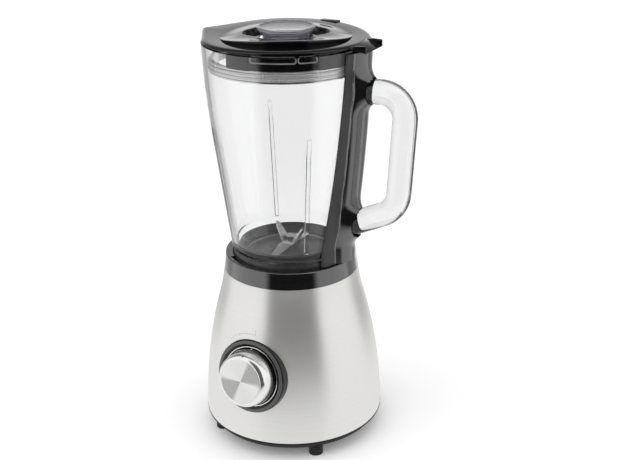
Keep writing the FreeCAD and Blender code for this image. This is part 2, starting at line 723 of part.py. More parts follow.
# ---------------------------------------------------------------- base: shell, plate, feet
def knob_frame():
    """Placement of the knob group: its Z axis leaves the shell towards -Y and tips up."""
    tip = FreeCAD.Rotation(FreeCAD.Vector(1, 0, 0), 90 - mm.knob_tilt.value)
    return FreeCAD.Placement(FreeCAD.Vector(0, -mm.knob_seat.value, mm.knob_level.value), tip)


def put_on_knob_axis(thing):
    """Stand a body, drawn along +Z from the origin, on the knob's axis."""
    thing.Placement = knob_frame()
    thing.setExpression("Placement.Base.y", (-mm.knob_seat).text)
    thing.setExpression("Placement.Base.z", mm.knob_level.text)
    thing.setExpression("Placement.Rotation.Angle", (90 - mm.knob_tilt).text)
    return thing


def shell_side(inset):
    """Corners and bends of the shell's side, moved in by inset."""
    corners = [
        (mm.shell_foot_radius - inset, mm.shell_foot_level),
        (mm.shell_waist_radius - inset, mm.shell_waist_level),
        (mm.shell_top_radius - inset, mm.shell_top_level),
    ]
    return corners, (mm.shell_belly_bend - inset, -(mm.shell_neck_bend + inset))


def make_base_shell():
    """Brushed steel shell, open below, with holes for the bezel and the cord inlet."""
    outer, (belly, neck) = shell_side(as_size(0))
    inner, (inner_belly, inner_neck) = shell_side(mm.shell_wall)
    flange_edge = mm.shell_top_radius - mm.shell_flange_width
    inner_top = (inner[2][0], mm.shell_top_level - mm.shell_wall)
    corners = outer + [(flange_edge, mm.shell_top_level), (flange_edge, inner_top[1]), inner_top]
    corners += [inner[1], inner[0]]
    arcs = {0: belly, 1: neck, 5: -inner_neck, 6: -inner_belly}
    body = turned_body("shell_sheet", corners, arcs)
    opening = simple("Part::Cylinder", "bezel_opening", Radius=mm.bezel_radius + mm.fit_gap / 2,
                     Height=mm.knob_seat)
    opening.Placement = knob_frame() * FreeCAD.Placement(FreeCAD.Vector(0, 0, -mm.knob_top.value),
                                                         FreeCAD.Rotation())
    inlet = simple("Part::Cylinder", "inlet_opening", Radius=mm.inlet_radius + mm.plate_wall,
                   Height=mm.shell_foot_radius + mm.inlet_length)
    inlet.Placement = FreeCAD.Placement(FreeCAD.Vector(), FreeCAD.Rotation(FreeCAD.Vector(1, 0, 0), -90))
    place(inlet, 0, 0, mm.inlet_level)
    tools = simple("Part::MultiFuse", "shell_openings", Shapes=[opening, inlet])
    shell = simple("Part::Cut", "base_shell", Base=body, Tool=tools)
    doc.recompute()
    keep(shell)


def make_base_plate():
    """Black plate that closes the base, with its rim, vents, foot sockets and board slots."""
    lip_level = mm.shell_foot_level - mm.plate_lip
    rim = mm.shell_foot_radius - mm.shell_wall - mm.fit_gap
    rim_inner = rim - mm.plate_wall
    corners = [
        (0, mm.plate_level), (plate_floor_radius, mm.plate_level),
        (mm.shell_foot_radius - mm.shell_wall / 2, lip_level),
        (mm.shell_foot_radius - mm.shell_wall / 2, mm.shell_foot_level),
        (rim, mm.shell_foot_level), (rim, mm.shell_foot_level + mm.plate_rim_height),
        (rim_inner, mm.shell_foot_level + mm.plate_rim_height),
        (rim_inner, lip_level), (plate_floor_radius - mm.plate_wall, plate_floor_level),
        (0, plate_floor_level),
    ]
    body = turned_body("base_plate", corners)
    sketch = new_sketch(body, "vent", "XY_Plane", plate_floor_level)
    half = mm.vent_width / 2
    draw_box(sketch, -half, mm.vent_radius - mm.vent_length / 2, half, mm.vent_radius + mm.vent_length / 2)
    repeat_around(body, [pocket(body, sketch, mm.plate_floor)], mm.vent_count)
    holes_around(body, "stem", plate_floor_level, foot_ring, mm.foot_stem, mm.plate_floor, 4, 45)
    holes_around(body, "screw", plate_floor_level, pillar_ring, mm.screw_shank + mm.fit_gap,
                 mm.plate_floor, 4, 45)
    back = board_distance + mm.board_thickness
    sketch = new_sketch(body, "post", "XY_Plane", plate_floor_level)
    for side in (-1, 1):
        middle = side * (mm.board_width / 2 - mm.board_post)
        draw_box(sketch, middle - mm.board_post / 2, back, middle + mm.board_post / 2, back + mm.board_post)
    pad(body, sketch, mm.board_height)
    keep(body)


def make_feet():
    """Four rubber feet, each with a stem that snaps into the plate."""
    body = new_body("rubber_feet")
    sketch = new_sketch(body, "foot", "XY_Plane")
    across, along = around(foot_ring, 45)
    draw_circle(sketch, across, along, mm.foot_radius)
    foot = pad(body, sketch, mm.plate_level)
    sketch = new_sketch(body, "stem", "XY_Plane", mm.plate_level)
    draw_circle(sketch, across, along, mm.foot_stem - mm.running_fit)
    stem = pad(body, sketch, mm.plate_floor + mm.plate_lip)
    repeat_around(body, [foot, stem], 4)
    keep(body)


def make_plate_screws():
    """Screws up through the plate into the frame's pillars."""
    body = new_body("plate_screws")
    across, along = around(pillar_ring, 45)
    sketch = new_sketch(body, "head", "XY_Plane", mm.plate_level - mm.head_height)
    draw_circle(sketch, across, along, mm.screw_head)
    head = pad(body, sketch, mm.head_height)
    sketch = new_sketch(body, "shank", "XY_Plane", mm.plate_level)
    draw_circle(sketch, across, along, mm.screw_shank - mm.running_fit)
    shank = pad(body, sketch, mm.screw_reach)
    repeat_around(body, [head, shank], 4)
    keep(body)


def make_inner_frame():
    """Frame that clamps the shell: a top plate on four pillars, with bosses for the motor mounts."""
    corners = [
        (mm.frame_opening, frame_plate_level), (frame_radius, frame_plate_level),
        (frame_radius, frame_plate_level + mm.frame_plate),
        (mm.frame_opening, frame_plate_level + mm.frame_plate),
    ]
    body = turned_body("inner_frame", corners)
    pins_around(body, "pillar", plate_floor_level, pillar_ring, mm.pillar_radius,
                frame_plate_level - plate_floor_level, 4, 45)
    pins_around(body, "boss", mount_top, mm.mount_ring, mm.mount_radius, frame_plate_level - mount_top, 4, 45)
    holes_around(body, "screw", plate_floor_level, pillar_ring, mm.screw_shank,
                 mm.screw_reach - mm.plate_floor, 4, 45, reverse=True)
    sketch = new_sketch(body, "pin_hole", "XY_Plane", frame_plate_level)
    draw_circle(sketch, 0, pin_ring, mm.pin_collar + mm.fit_gap)
    pocket(body, sketch, mm.frame_plate, reverse=True)
    keep(body)


def make_seat_ring():
    """Glossy black ring on top of the base, with the well that the jug stands in."""
    spigot_outer = mm.shell_top_radius - mm.shell_flange_width - mm.fit_gap
    spigot_inner = spigot_outer - mm.boss_wall
    spigot_level = mm.shell_top_level - mm.seat_spigot
    lip = seat_top_level - mm.seat_round
    corners = [
        (mm.seat_hole, mm.shell_top_level), (spigot_inner, mm.shell_top_level), (spigot_inner, spigot_level),
        (spigot_outer, spigot_level), (spigot_outer, mm.shell_top_level),
        (seat_foot_radius, mm.shell_top_level), (seat_top_radius, lip),
        (seat_top_radius - mm.seat_round, seat_top_level), (well_radius + mm.seat_round, seat_top_level),
        (well_radius, lip), (well_radius, well_level), (mm.seat_hole, well_level),
    ]
    body = turned_body("jug_seat_ring", corners, {6: mm.seat_round, 8: mm.seat_round})
    sketch = new_sketch(body, "notch", "XY_Plane", seat_top_level, mm.notch_turn, (0, 0, 1))
    reach = well_radius + mm.notch_reach
    draw_box(sketch, -(mm.notch_width / 2), -reach, mm.notch_width / 2, -(well_radius - mm.notch_reach))
    repeat_around(body, [pocket(body, sketch, mm.notch_depth)], 6)
    sketch = new_sketch(body, "pin_hole", "XY_Plane", well_level)
    draw_circle(sketch, 0, pin_ring, mm.pin_radius + mm.running_fit)
    pocket(body, sketch, mm.seat_floor)
    keep(body)


# ---------------------------------------------------------------- motor
def make_brackets():
    """The motor's two aluminium end brackets: cups with a bearing boss and four openings."""
    rim_outer = mm.stator_radius
    rim_inner = rim_outer - mm.bracket_wall
    boss = mm.bearing_radius + mm.boss_wall
    low = mm.lower_bracket_level
    plate = low + mm.bracket_plate
    corners = [
        (shaft_hole + mm.air_gap, low), (rim_outer, low), (rim_outer, mm.stator_level),
        (rim_inner, mm.stator_level), (rim_inner, plate), (boss, plate), (boss, low + mm.bearing_width),
        (mm.bearing_radius, low + mm.bearing_width), (mm.bearing_radius, low + mm.air_gap),
        (shaft_hole + mm.air_gap, low + mm.air_gap),
    ]
    lower = turned_body("lower_motor_bracket", corners)
    top = mm.upper_bracket_top
    bearing_top = top + mm.bearing_width
    corners = [
        (mm.bearing_radius, upper_bracket_level), (rim_inner, upper_bracket_level), (rim_inner, stator_top),
        (rim_outer, stator_top), (rim_outer, top), (boss, top), (boss, bearing_top + mm.air_gap),
        (shaft_hole + mm.air_gap, bearing_top + mm.air_gap), (shaft_hole + mm.air_gap, bearing_top),
        (mm.bearing_radius, bearing_top),
    ]
    upper = turned_body("upper_motor_bracket", corners)
    window = (mm.stator_level - plate) - mm.bracket_plate * 2
    for body, level, height in ((lower, plate + mm.bracket_plate, window),
                                (upper, stator_top + mm.bracket_wall,
                                 upper_bracket_level - stator_top - mm.bracket_wall * 2)):
        sketch = new_sketch(body, "window", "XZ_Plane", 0, 45)
        draw_box(sketch, -(mm.window_width / 2), level, mm.window_width / 2, level + height)
        feature = pocket(body, sketch, rim_outer * 2)
        repeat_around(body, [feature], 4)
    for body, level in ((lower, plate), (upper, top)):
        holes_around(body, "bolt", level, mm.bolt_ring, mm.bolt_radius + mm.running_fit, mm.bracket_plate, 2)
        keep(body)


def make_bearings():
    """Two ball bearings, drawn as plain rings."""
    bore = mm.bearing_bore
    lower = sleeve("lower_bearing", mm.bearing_radius, bore, mm.lower_bracket_level + mm.air_gap,
                   mm.bearing_width - mm.air_gap)
    upper = sleeve("upper_bearing", mm.bearing_radius, bore, mm.upper_bracket_top, mm.bearing_width)
    keep(lower)
    keep(upper)


def make_stator():
    """Laminated stack with windows for the two field coils, and the coils themselves."""
    corners = [
        (mm.stator_bore, mm.stator_level), (mm.stator_radius, mm.stator_level),
        (mm.stator_radius, stator_top), (mm.stator_bore, stator_top),
    ]
    stack = turned_body("stator_laminations", corners)
    sketch = new_sketch(stack, "window", "XZ_Plane", 0, 45)
    draw_box(sketch, mm.coil_inner - mm.coil_gap, mm.stator_level - 1, mm.coil_outer + mm.coil_gap, stator_top + 1)
    window = groove(stack, sketch, mm.coil_leg_angle + 1, midplane=True)
    repeat_around(stack, [window], 4)
    holes_around(stack, "bolt", stator_top, mm.bolt_ring, mm.bolt_radius + mm.running_fit, mm.stator_height, 2)
    keep(stack)
    coils = new_body("field_coils")
    sketch = new_sketch(coils, "outside", "XZ_Plane", 0, 0)
    draw_box(sketch, mm.coil_inner, mm.stator_level - mm.coil_overhang, mm.coil_outer, stator_top + mm.coil_overhang)
    outside = revolve(coils, sketch, 90 + mm.coil_leg_angle, midplane=True)
    sketch = new_sketch(coils, "inside", "XZ_Plane", 0, 0)
    draw_box(sketch, mm.coil_inner - 1, mm.stator_level - mm.coil_gap, mm.coil_outer + 1, stator_top + mm.coil_gap)
    inside = groove(coils, sketch, 90 - mm.coil_leg_angle, midplane=True)
    coils.Placement = FreeCAD.Placement(FreeCAD.Vector(), FreeCAD.Rotation(FreeCAD.Vector(0, 0, 1), 90))
    repeat_around(coils, [outside, inside], 2)
    keep(coils)


def make_motor_bolts():
    """Two long bolts that hold the brackets on the stack."""
    body = new_body("motor_bolts")
    across, along = around(mm.bolt_ring, 0)
    sketch = new_sketch(body, "shank", "XY_Plane", mm.lower_bracket_level - mm.bracket_wall)
    draw_circle(sketch, across, along, mm.bolt_radius)
    shank = pad(body, sketch, mm.upper_bracket_top - mm.lower_bracket_level + mm.bracket_wall)
    sketch = new_sketch(body, "head", "XY_Plane", mm.upper_bracket_top)
    draw_circle(sketch, across, along, mm.bolt_radius * mm.bolt_head)
    head = pad(body, sketch, mm.bolt_radius)
    repeat_around(body, [shank, head], 2)
    keep(body)


def make_motor_mounts():
    """Four rubber mounts between the upper bracket and the frame."""
    body = new_body("motor_mounts")
    pins_around(body, "mount", mm.upper_bracket_top, mm.mount_ring, mm.mount_radius, mm.mount_height, 4, 45)
    keep(body)


def make_brushes():
    """Brush holders on the lower bracket, with their carbon brushes and springs."""
    plate = mm.lower_bracket_level + mm.bracket_plate
    middle = mm.commutator_level + mm.commutator_height / 2
    start = mm.commutator_radius + mm.brush_width
    holders = new_body("brush_holders")
    wide = mm.brush_width / 2 + mm.holder_wall
    high = mm.brush_height / 2 + mm.holder_wall
    sketch = new_sketch(holders, "box", "YZ_Plane", start)
    draw_box(sketch, -wide, middle - high, wide, middle + high)
    box = pad(holders, sketch, mm.holder_end + mm.holder_wall - start)
    sketch = new_sketch(holders, "foot", "XY_Plane", plate)
    draw_box(sketch, mm.holder_end - mm.brush_width, -wide, mm.holder_end, wide)
    foot = pad(holders, sketch, middle - high - plate)
    repeat_around(holders, [box, foot], 2)
    sketch = new_sketch(holders, "channel", "YZ_Plane", start)
    clear_width = mm.brush_width / 2 + mm.running_fit
    clear_height = mm.brush_height / 2 + mm.running_fit
    draw_box(sketch, -clear_width, middle - clear_height, clear_width, middle + clear_height)
    channel = pocket(holders, sketch, mm.holder_end - start, reverse=True)
    repeat_around(holders, [channel], 2)
    keep(holders)
    brushes = new_body("carbon_brushes")
    face = mm.commutator_radius + mm.fit_gap
    sketch = new_sketch(brushes, "brush", "YZ_Plane", face)
    draw_box(sketch, -(mm.brush_width / 2), middle - mm.brush_height / 2, mm.brush_width / 2,
             middle + mm.brush_height / 2)
    brush = pad(brushes, sketch, mm.brush_length)
    repeat_around(brushes, [brush], 2)
    keep(brushes)
    springs = new_body("brush_springs")
    start = face + mm.brush_length
    add_spring(springs, start, mm.brush_width / 2 - mm.spring_wire, mm.holder_end - start, "H_Axis")
    repeat_around(springs, [springs.Tip], 2)
    place(springs, 0, 0, middle)
    keep(springs)


def add_spring(body, start, radius, length, axis):
    """A closed coil spring along one of the XZ plane's axes, from start over a length."""
    sketch = new_sketch(body, "wire", "XZ_Plane")
    first = start + mm.spring_wire
    spot = (first, radius) if axis == "H_Axis" else (radius, first)
    draw_circle(sketch, spot[0], spot[1], mm.spring_wire)
    helix = body.newObject("PartDesign::AdditiveHelix", f"{body.Name}_coil")
    helix.Profile = sketch
    helix.ReferenceAxis = (sketch, [axis])
    helix.Mode = "height-turns-angle"
    helix.Height = (length - mm.spring_wire * 2).value
    bind(helix, "Height", length - mm.spring_wire * 2)
    helix.Turns = mm.spring_turns.value
    bind(helix, "Turns", mm.spring_turns)
    finish_feature(body, helix, True)


def make_rotor():
    """Shaft, armature, windings, commutator, fan and the coupling that drives the jug."""
    shaft = sleeve("motor_shaft", mm.shaft_radius, as_size(0), mm.shaft_foot_level,
                   coupling_disc_level + mm.coupling_disc - mm.shaft_foot_level)
    keep(shaft)
    core_radius = mm.stator_bore - mm.air_gap
    core = sleeve("armature_core", core_radius, shaft_hole, mm.stator_level, mm.stator_height)
    sketch = new_sketch(core, "slot", "XY_Plane", stator_top)
    inner = core_radius - mm.slot_mouth - mm.slot_depth
    draw_box(sketch, -(mm.slot_width / 2), inner, mm.slot_width / 2, inner + mm.slot_depth)
    repeat_around(core, [pocket(core, sketch, mm.stator_height)], mm.slot_count)
    keep(core)
    half = mm.slot_width / 2 - mm.coil_gap
    windings = new_body("armature_windings")
    sketch = new_sketch(windings, "bar", "XY_Plane", mm.stator_level - mm.coil_gap * 2)
    draw_box(sketch, -half, inner + mm.coil_gap, half, inner + mm.slot_depth - mm.coil_gap)
    bar = pad(windings, sketch, mm.stator_height + mm.coil_gap * 4)
    repeat_around(windings, [bar], mm.slot_count)
    hole = mm.commutator_radius + mm.bracket_wall
    for level in (mm.stator_level - mm.coil_gap - mm.winding_head, stator_top + mm.coil_gap):
        sketch = new_sketch(windings, "head", "XZ_Plane")
        draw_path(sketch, [(hole, level), (mm.winding_radius, level), (mm.winding_radius, level + mm.winding_head),
                           (hole, level + mm.winding_head)], {1: mm.winding_head})
        revolve(windings, sketch)
    keep(windings)
    commutator = sleeve("commutator", mm.commutator_radius, shaft_hole, mm.commutator_level, mm.commutator_height)
    keep(commutator)
    fan = turned_body("cooling_fan", [
        (shaft_hole, mm.fan_level), (mm.fan_hub, mm.fan_level),
        (mm.fan_hub, mm.fan_level + mm.fan_height - mm.fan_disc),
        (mm.fan_radius, mm.fan_level + mm.fan_height - mm.fan_disc),
        (mm.fan_radius, mm.fan_level + mm.fan_height), (shaft_hole, mm.fan_level + mm.fan_height)])
    sketch = new_sketch(fan, "blade", "XY_Plane", mm.fan_level)
    draw_path(sketch, [(mm.fan_hub - 1, 0), (mm.fan_radius, 0), (mm.fan_radius, mm.fan_blade),
                       (mm.fan_hub - 1, mm.fan_blade)], {0: mm.fan_radius, 2: -mm.fan_radius})
    blade = pad(fan, sketch, mm.fan_height - mm.fan_disc)
    repeat_around(fan, [blade], mm.fan_blades)
    keep(fan)
    coupling = turned_body("drive_coupling", [
        (shaft_hole, frame_plate_level), (mm.coupling_hub, frame_plate_level),
        (mm.coupling_hub, coupling_disc_level), (mm.coupling_radius, coupling_disc_level),
        (mm.coupling_radius, coupling_disc_level + mm.coupling_disc),
        (shaft_hole, coupling_disc_level + mm.coupling_disc)])
    add_lugs(coupling, coupling_disc_level + mm.coupling_disc, mm.lug_height, 0)
    keep(coupling)


def add_lugs(body, level, height, turn):
    """Driving lugs around a coupling."""
    sketch = new_sketch(body, "lug", "XY_Plane", level, turn, (0, 0, 1))
    half = mm.lug_width / 2
    draw_box(sketch, mm.coupling_radius - mm.coupling_hub, -half, mm.coupling_radius - 1, half)
    lug = pad(body, sketch, height)
    repeat_around(body, [lug], mm.lug_count)


# ---------------------------------------------------------------- jug
def glass_side(outset):
    """Corners of the jug's outer side from foot to rim, moved out by outset, and their bends."""
    corners = [
        (glass_foot_radius + outset, mm.glass_foot_level),
        (glass_low_radius + outset, mm.glass_foot_level + mm.glass_foot_round),
        (mm.glass_side_radius + outset, mm.glass_side_level),
        (mm.glass_rim_radius + outset, mm.glass_rim_level),
    ]
    return corners, {0: mm.glass_foot_bend + outset, 2: mm.glass_side_bend + outset}


def handle_path(body, name):
    """Centre line of the handle loop, in the XZ plane."""
    sketch = new_sketch(body, name, "XZ_Plane")
    top = FreeCAD.Vector(mm.handle_out.value, mm.handle_top_level.value, 0)
    low = FreeCAD.Vector(mm.handle_low_out.value, mm.handle_low_level.value, 0)
    root = FreeCAD.Vector(mm.handle_root_out.value, mm.handle_root_level.value, 0)
    down = (low - top).normalize()
    inward = (root - low).normalize()
    inner = FreeCAD.Vector(mm.handle_root_out.value, mm.handle_top_level.value, 0)
    top_run = mm.handle_top_bend.value * math.tan(down.getAngle(FreeCAD.Vector(1, 0, 0)) / 2)
    low_run = mm.handle_low_bend.value * math.tan(down.getAngle(inward) / 2)
    corners = [inner, FreeCAD.Vector(top.x - top_run, top.y, 0), top + down * top_run, low - down * low_run,
               low + inward * low_run, root]
    draw_path(sketch, [(spot.x, spot.y) for spot in corners],
              {1: -mm.handle_top_bend, 3: -mm.handle_low_bend}, closed=False)
    return sketch


def add_handle(body, name, radius, additive=True):
    """Add the handle's glass loop, or cut its passage."""
    path = handle_path(body, f"{name}_path")
    section = new_sketch(body, name, "YZ_Plane", mm.handle_root_out)
    draw_circle(section, 0, mm.handle_top_level, radius)
    return pipe(body, name, path, [section], additive)


def along_handle():
    """Direction of the handle's lower root, as its slope in degrees."""
    rise = mm.handle_low_level.value - mm.handle_root_level.value
    reach = mm.handle_low_out.value - mm.handle_root_out.value
    return math.degrees(math.atan2(rise, reach))


def make_jug_glass():
    """Pressed-glass jug with its spout, handle loop and four inner ribs, in one piece."""
    side, arcs = glass_side(as_size(0))
    rim = side[-1]
    corners = [(0, glass_mouth_level), (glass_neck_radius, glass_mouth_level),
               (glass_neck_radius, mm.glass_foot_level)] + side + [(0, mm.glass_rim_level)]
    body = turned_body("jug_glass", corners, {number + 3: bend for number, bend in arcs.items()})
    add_spout(body, "spout", as_size(0), True)
    add_handle(body, "handle", mm.handle_radius)
    wall = mm.glass_wall
    cavity = [(0, glass_mouth_level), (glass_mouth_radius, glass_mouth_level),
              (glass_mouth_radius, glass_mouth_level + mm.gasket_height),
              (glass_low_radius - wall, mm.rib_foot_level), (mm.glass_side_radius - wall, mm.glass_side_level),
              (rim[0] - wall, mm.glass_rim_level), (0, mm.glass_rim_level)]
    sketch = new_sketch(body, "cavity", "XZ_Plane")
    draw_path(sketch, cavity, {4: mm.glass_side_bend - wall})
    groove(body, sketch)
    add_spout(body, "channel", wall, False)
    inner_low = glass_low_radius - wall
    inner_side = mm.glass_side_radius - wall
    sketch = new_sketch(body, "rib", "XZ_Plane", 0, 45)
    bury = wall / 2
    draw_path(sketch, [(inner_low - mm.rib_depth, mm.rib_foot_level), (inner_low + bury, mm.rib_foot_level),
                       (inner_side + bury, mm.glass_side_level), (inner_side + bury, mm.rib_top_level),
                       (inner_side - mm.rib_depth, mm.glass_side_level)])
    repeat_around(body, [pad(body, sketch, mm.rib_width, midplane=True)], 4)
    keep(body)


def add_spout(body, name, inset, additive):
    """The flared spout at -X, or its inner channel."""
    sections = []
    for number, (drop, reach, radius) in enumerate((
            (0, spout_reach, mm.spout_radius),
            (mm.spout_depth, spout_root_reach, mm.spout_root_radius))):
        sketch = new_sketch(body, f"{name}_{number}", "XY_Plane", mm.glass_rim_level - drop)
        draw_circle(sketch, -reach, 0, radius - inset)
        sections.append(sketch)
    return pipe(body, name, None, sections, additive)


def make_collar():
    """Black collar under the glass, its gasket, and the metal blade holder with its bushes and seal."""
    inner = glass_neck_radius + mm.fit_gap
    skirt_inner = collar_radius - mm.collar_skirt_wall
    corners = [
        (collar_hole, collar_floor_level), (skirt_inner, collar_floor_level), (skirt_inner, mm.collar_level),
        (collar_radius, mm.collar_level), (collar_radius, mm.collar_level + mm.collar_shoulder),
        (glass_foot_radius, mm.collar_top_level), (inner, mm.collar_top_level), (inner, flange_level),
        (collar_hole, flange_level),
    ]
    keep(turned_body("jug_collar", corners))
    keep(sleeve("collar_gasket", glass_neck_radius, glass_mouth_radius, gasket_level, mm.gasket_height))
    corners = [
        (mm.bush_radius, flange_level), (glass_neck_radius, flange_level), (glass_neck_radius, gasket_level),
        (mm.hub_radius * 2, gasket_level), (mm.hub_radius, hub_top), (mm.bush_radius, hub_top),
    ]
    keep(turned_body("blade_holder", corners))
    bushes = new_body("shaft_bushes")
    for level in (flange_level, hub_top - mm.bush_length):
        sketch = new_sketch(bushes, "ring", "XZ_Plane")
        draw_box(sketch, shaft_hole, level, mm.bush_radius, level + mm.bush_length)
        revolve(bushes, sketch)
    keep(bushes)
    seal_height = mm.hub_rise + mm.holder_flange - mm.bush_length * 2
    keep(sleeve("shaft_seal", mm.bush_radius, shaft_hole, flange_level + mm.bush_length, seal_height))


def make_spine():
    """Two-part black spine that covers the glass under the handle's roots, and the screws that join it."""
    body = new_body("spine")
    inner, inner_arcs = glass_side(mm.spine_gap)
    outer, outer_arcs = glass_side(mm.spine_gap + mm.spine_flange)
    foot = mm.spine_foot_level
    apron_top = foot + mm.spine_apron_height
    corners = [(inner[0][0], foot), (spine_apron_radius, foot),
               (outer[1][0], apron_top)] + outer[2:3] + [(outer[3][0], mm.spine_top_level)]
    corners += [(glass_foot_radius, mm.spine_top_level)]
    sketch = new_sketch(body, "flange", "XZ_Plane")
    draw_path(sketch, corners, {3: outer_arcs[2]})
    revolve(body, sketch, mm.spine_sweep, midplane=True)
    sketch = new_sketch(body, "sides", "YZ_Plane")
    wide = spine_apron_radius
    for side in (1, -1):
        edge = [(side * mm.spine_half_top, mm.spine_top_level + 1), (side * mm.spine_half_foot, foot - 1),
                (side * wide, foot - 1), (side * wide, mm.spine_top_level + 1)]
        draw_path(sketch, edge if side < 0 else edge[::-1])
    pocket(body, sketch, reverse=True)
    sections = []
    glass, _ = glass_side(as_size(0))
    levels = [(glass[1][0], foot + mm.spine_apron_height / 2, mm.spine_low_rise),
              (glass[1][0], apron_top, mm.spine_low_rise),
              (mm.glass_side_radius, mm.glass_side_level, mm.spine_low_rise),
              (mm.glass_rim_radius, mm.spine_top_level, mm.spine_top_rise)]
    half = mm.spine_body_half
    arch = mm.spine_body_round - square_root(mm.spine_body_round * mm.spine_body_round - half * half)
    for number, (reach, level, rise) in enumerate(levels):
        sketch = new_sketch(body, f"back_{number}", "XY_Plane", level)
        side = reach + rise - arch
        deep = reach - mm.spine_body_half
        draw_path(sketch, [(deep, -half), (side, -half), (side, half), (deep, half)], {1: mm.spine_body_round})
        sections.append(sketch)
    pipe(body, "back", None, sections)
    reach = mm.handle_root_out
    for name, level, slope, length in (("upper", mm.handle_top_level, 0, mm.spine_boss_upper),
                                       ("lower", mm.handle_root_level, along_handle(), mm.spine_boss_lower)):
        sketch = new_sketch(body, f"{name}_boss", "YZ_Plane", reach, -slope, (1, 0, 0), (0, level))
        draw_circle(sketch, 0, 0, mm.spine_boss)
        pad(body, sketch, length)
    sketch = new_sketch(body, "glass", "XZ_Plane")
    draw_path(sketch, [(0, foot - 1), (collar_radius + mm.fit_gap, foot - 1),
                       (collar_radius + mm.fit_gap, mm.glass_foot_level)] + inner[1:]
              + [(inner[3][0], mm.glass_rim_level + 1), (0, mm.glass_rim_level + 1)], {4: inner_arcs[2]})
    groove(body, sketch)
    add_handle(body, "passage", mm.handle_radius + mm.spine_gap, additive=False)
    slope = (mm.glass_side_radius - glass_low_radius) / (mm.glass_side_level - mm.rib_foot_level)
    screws = new_body("spine_screws")
    for number, level in enumerate((mm.spine_screw_low, mm.spine_screw_high)):
        reach = mm.glass_side_radius + (level - mm.glass_side_level) * slope + mm.spine_low_rise / 2
        sketch = new_sketch(body, f"screw_{number}", "XZ_Plane")
        draw_circle(sketch, reach, level, mm.spine_screw_radius)
        pocket(body, sketch, mm.spine_body_half * 4, midplane=True)
        sketch = new_sketch(screws, f"screw_{number}", "XZ_Plane")
        draw_circle(sketch, reach, level, mm.spine_screw_radius - mm.running_fit)
        pad(screws, sketch, mm.spine_screw_length, midplane=True)
    height = mm.glass_rim_level - foot
    span = spine_apron_radius * 2
    for name, start in (("front", -span), ("rear", as_size(0))):
        half_space = simple("Part::Box", f"{name}_space", Length=span, Width=span, Height=height)
        place(half_space, 0, start, foot)
        keep(simple("Part::Common", f"spine_cover_{name}", Base=body, Tool=half_space))
    keep(screws)
    doc.recompute()


# ---------------------------------------------------------------- blades
def add_arms(body, level, flat, length, angle):
    """A flat middle and two arms that leave it at an angle and narrow to their tips."""
    half = mm.blade_width / 2
    sketch = new_sketch(body, "middle", "XY_Plane", level)
    draw_box(sketch, -flat, -half, flat, half)
    pad(body, sketch, mm.blade_thickness)
    sketch = new_sketch(body, "arm", "XY_Plane", level, -angle, (0, 1, 0), (flat - mm.blade_thickness, 0))
    tip = mm.blade_tip_width / 2
    draw_path(sketch, [(0, -half), (length, -tip), (length + tip, 0), (length, tip), (0, half)])
    repeat_around(body, [pad(body, sketch, mm.blade_thickness)], 2)
    sketch = new_sketch(body, "hole", "XY_Plane", level + mm.blade_thickness)
    draw_circle(sketch, 0, 0, shaft_hole)
    pocket(body, sketch, mm.blade_thickness)


def make_blades():
    """Blade shaft, two bent blades, washer and nut, and the coupling under the collar."""
    coupling_level = mm.coupling_top + mm.coupling_play
    keep(sleeve("blade_shaft", mm.shaft_radius, as_size(0), coupling_level,
                nut_level + mm.nut_height / 2 - coupling_level))
    lower = new_body("lower_blade")
    add_arms(lower, blade_level, mm.lower_blade_flat, mm.lower_blade_length, mm.lower_blade_angle)
    lower.Placement = FreeCAD.Placement(FreeCAD.Vector(), FreeCAD.Rotation(FreeCAD.Vector(0, 0, 1), 90))
    keep(lower)
    upper = new_body("upper_blade")
    add_arms(upper, upper_blade_level, mm.blade_flat, mm.upper_blade_length, mm.upper_blade_angle)
    keep(upper)
    keep(sleeve("blade_washer", mm.washer_radius, shaft_hole, washer_level, mm.washer_height))
    nut = new_body("blade_nut")
    sketch = new_sketch(nut, "hexagon", "XY_Plane", nut_level)
    draw_path(sketch, [around(mm.nut_radius, -60 * side) for side in range(6)])
    pad(nut, sketch, mm.nut_height)
    sketch = new_sketch(nut, "bore", "XY_Plane", nut_level)
    draw_circle(sketch, 0, 0, shaft_hole)
    pocket(nut, sketch, mm.nut_height / 2, reverse=True)
    keep(nut)
    coupling = turned_body("jug_coupling", [
        (shaft_hole, coupling_level), (mm.coupling_radius, coupling_level),
        (mm.coupling_radius, coupling_level + mm.jug_coupling_disc),
        (shaft_hole, coupling_level + mm.jug_coupling_disc)])
    add_lugs(coupling, coupling_level - mm.lug_height, mm.lug_height, 45)
    keep(coupling)


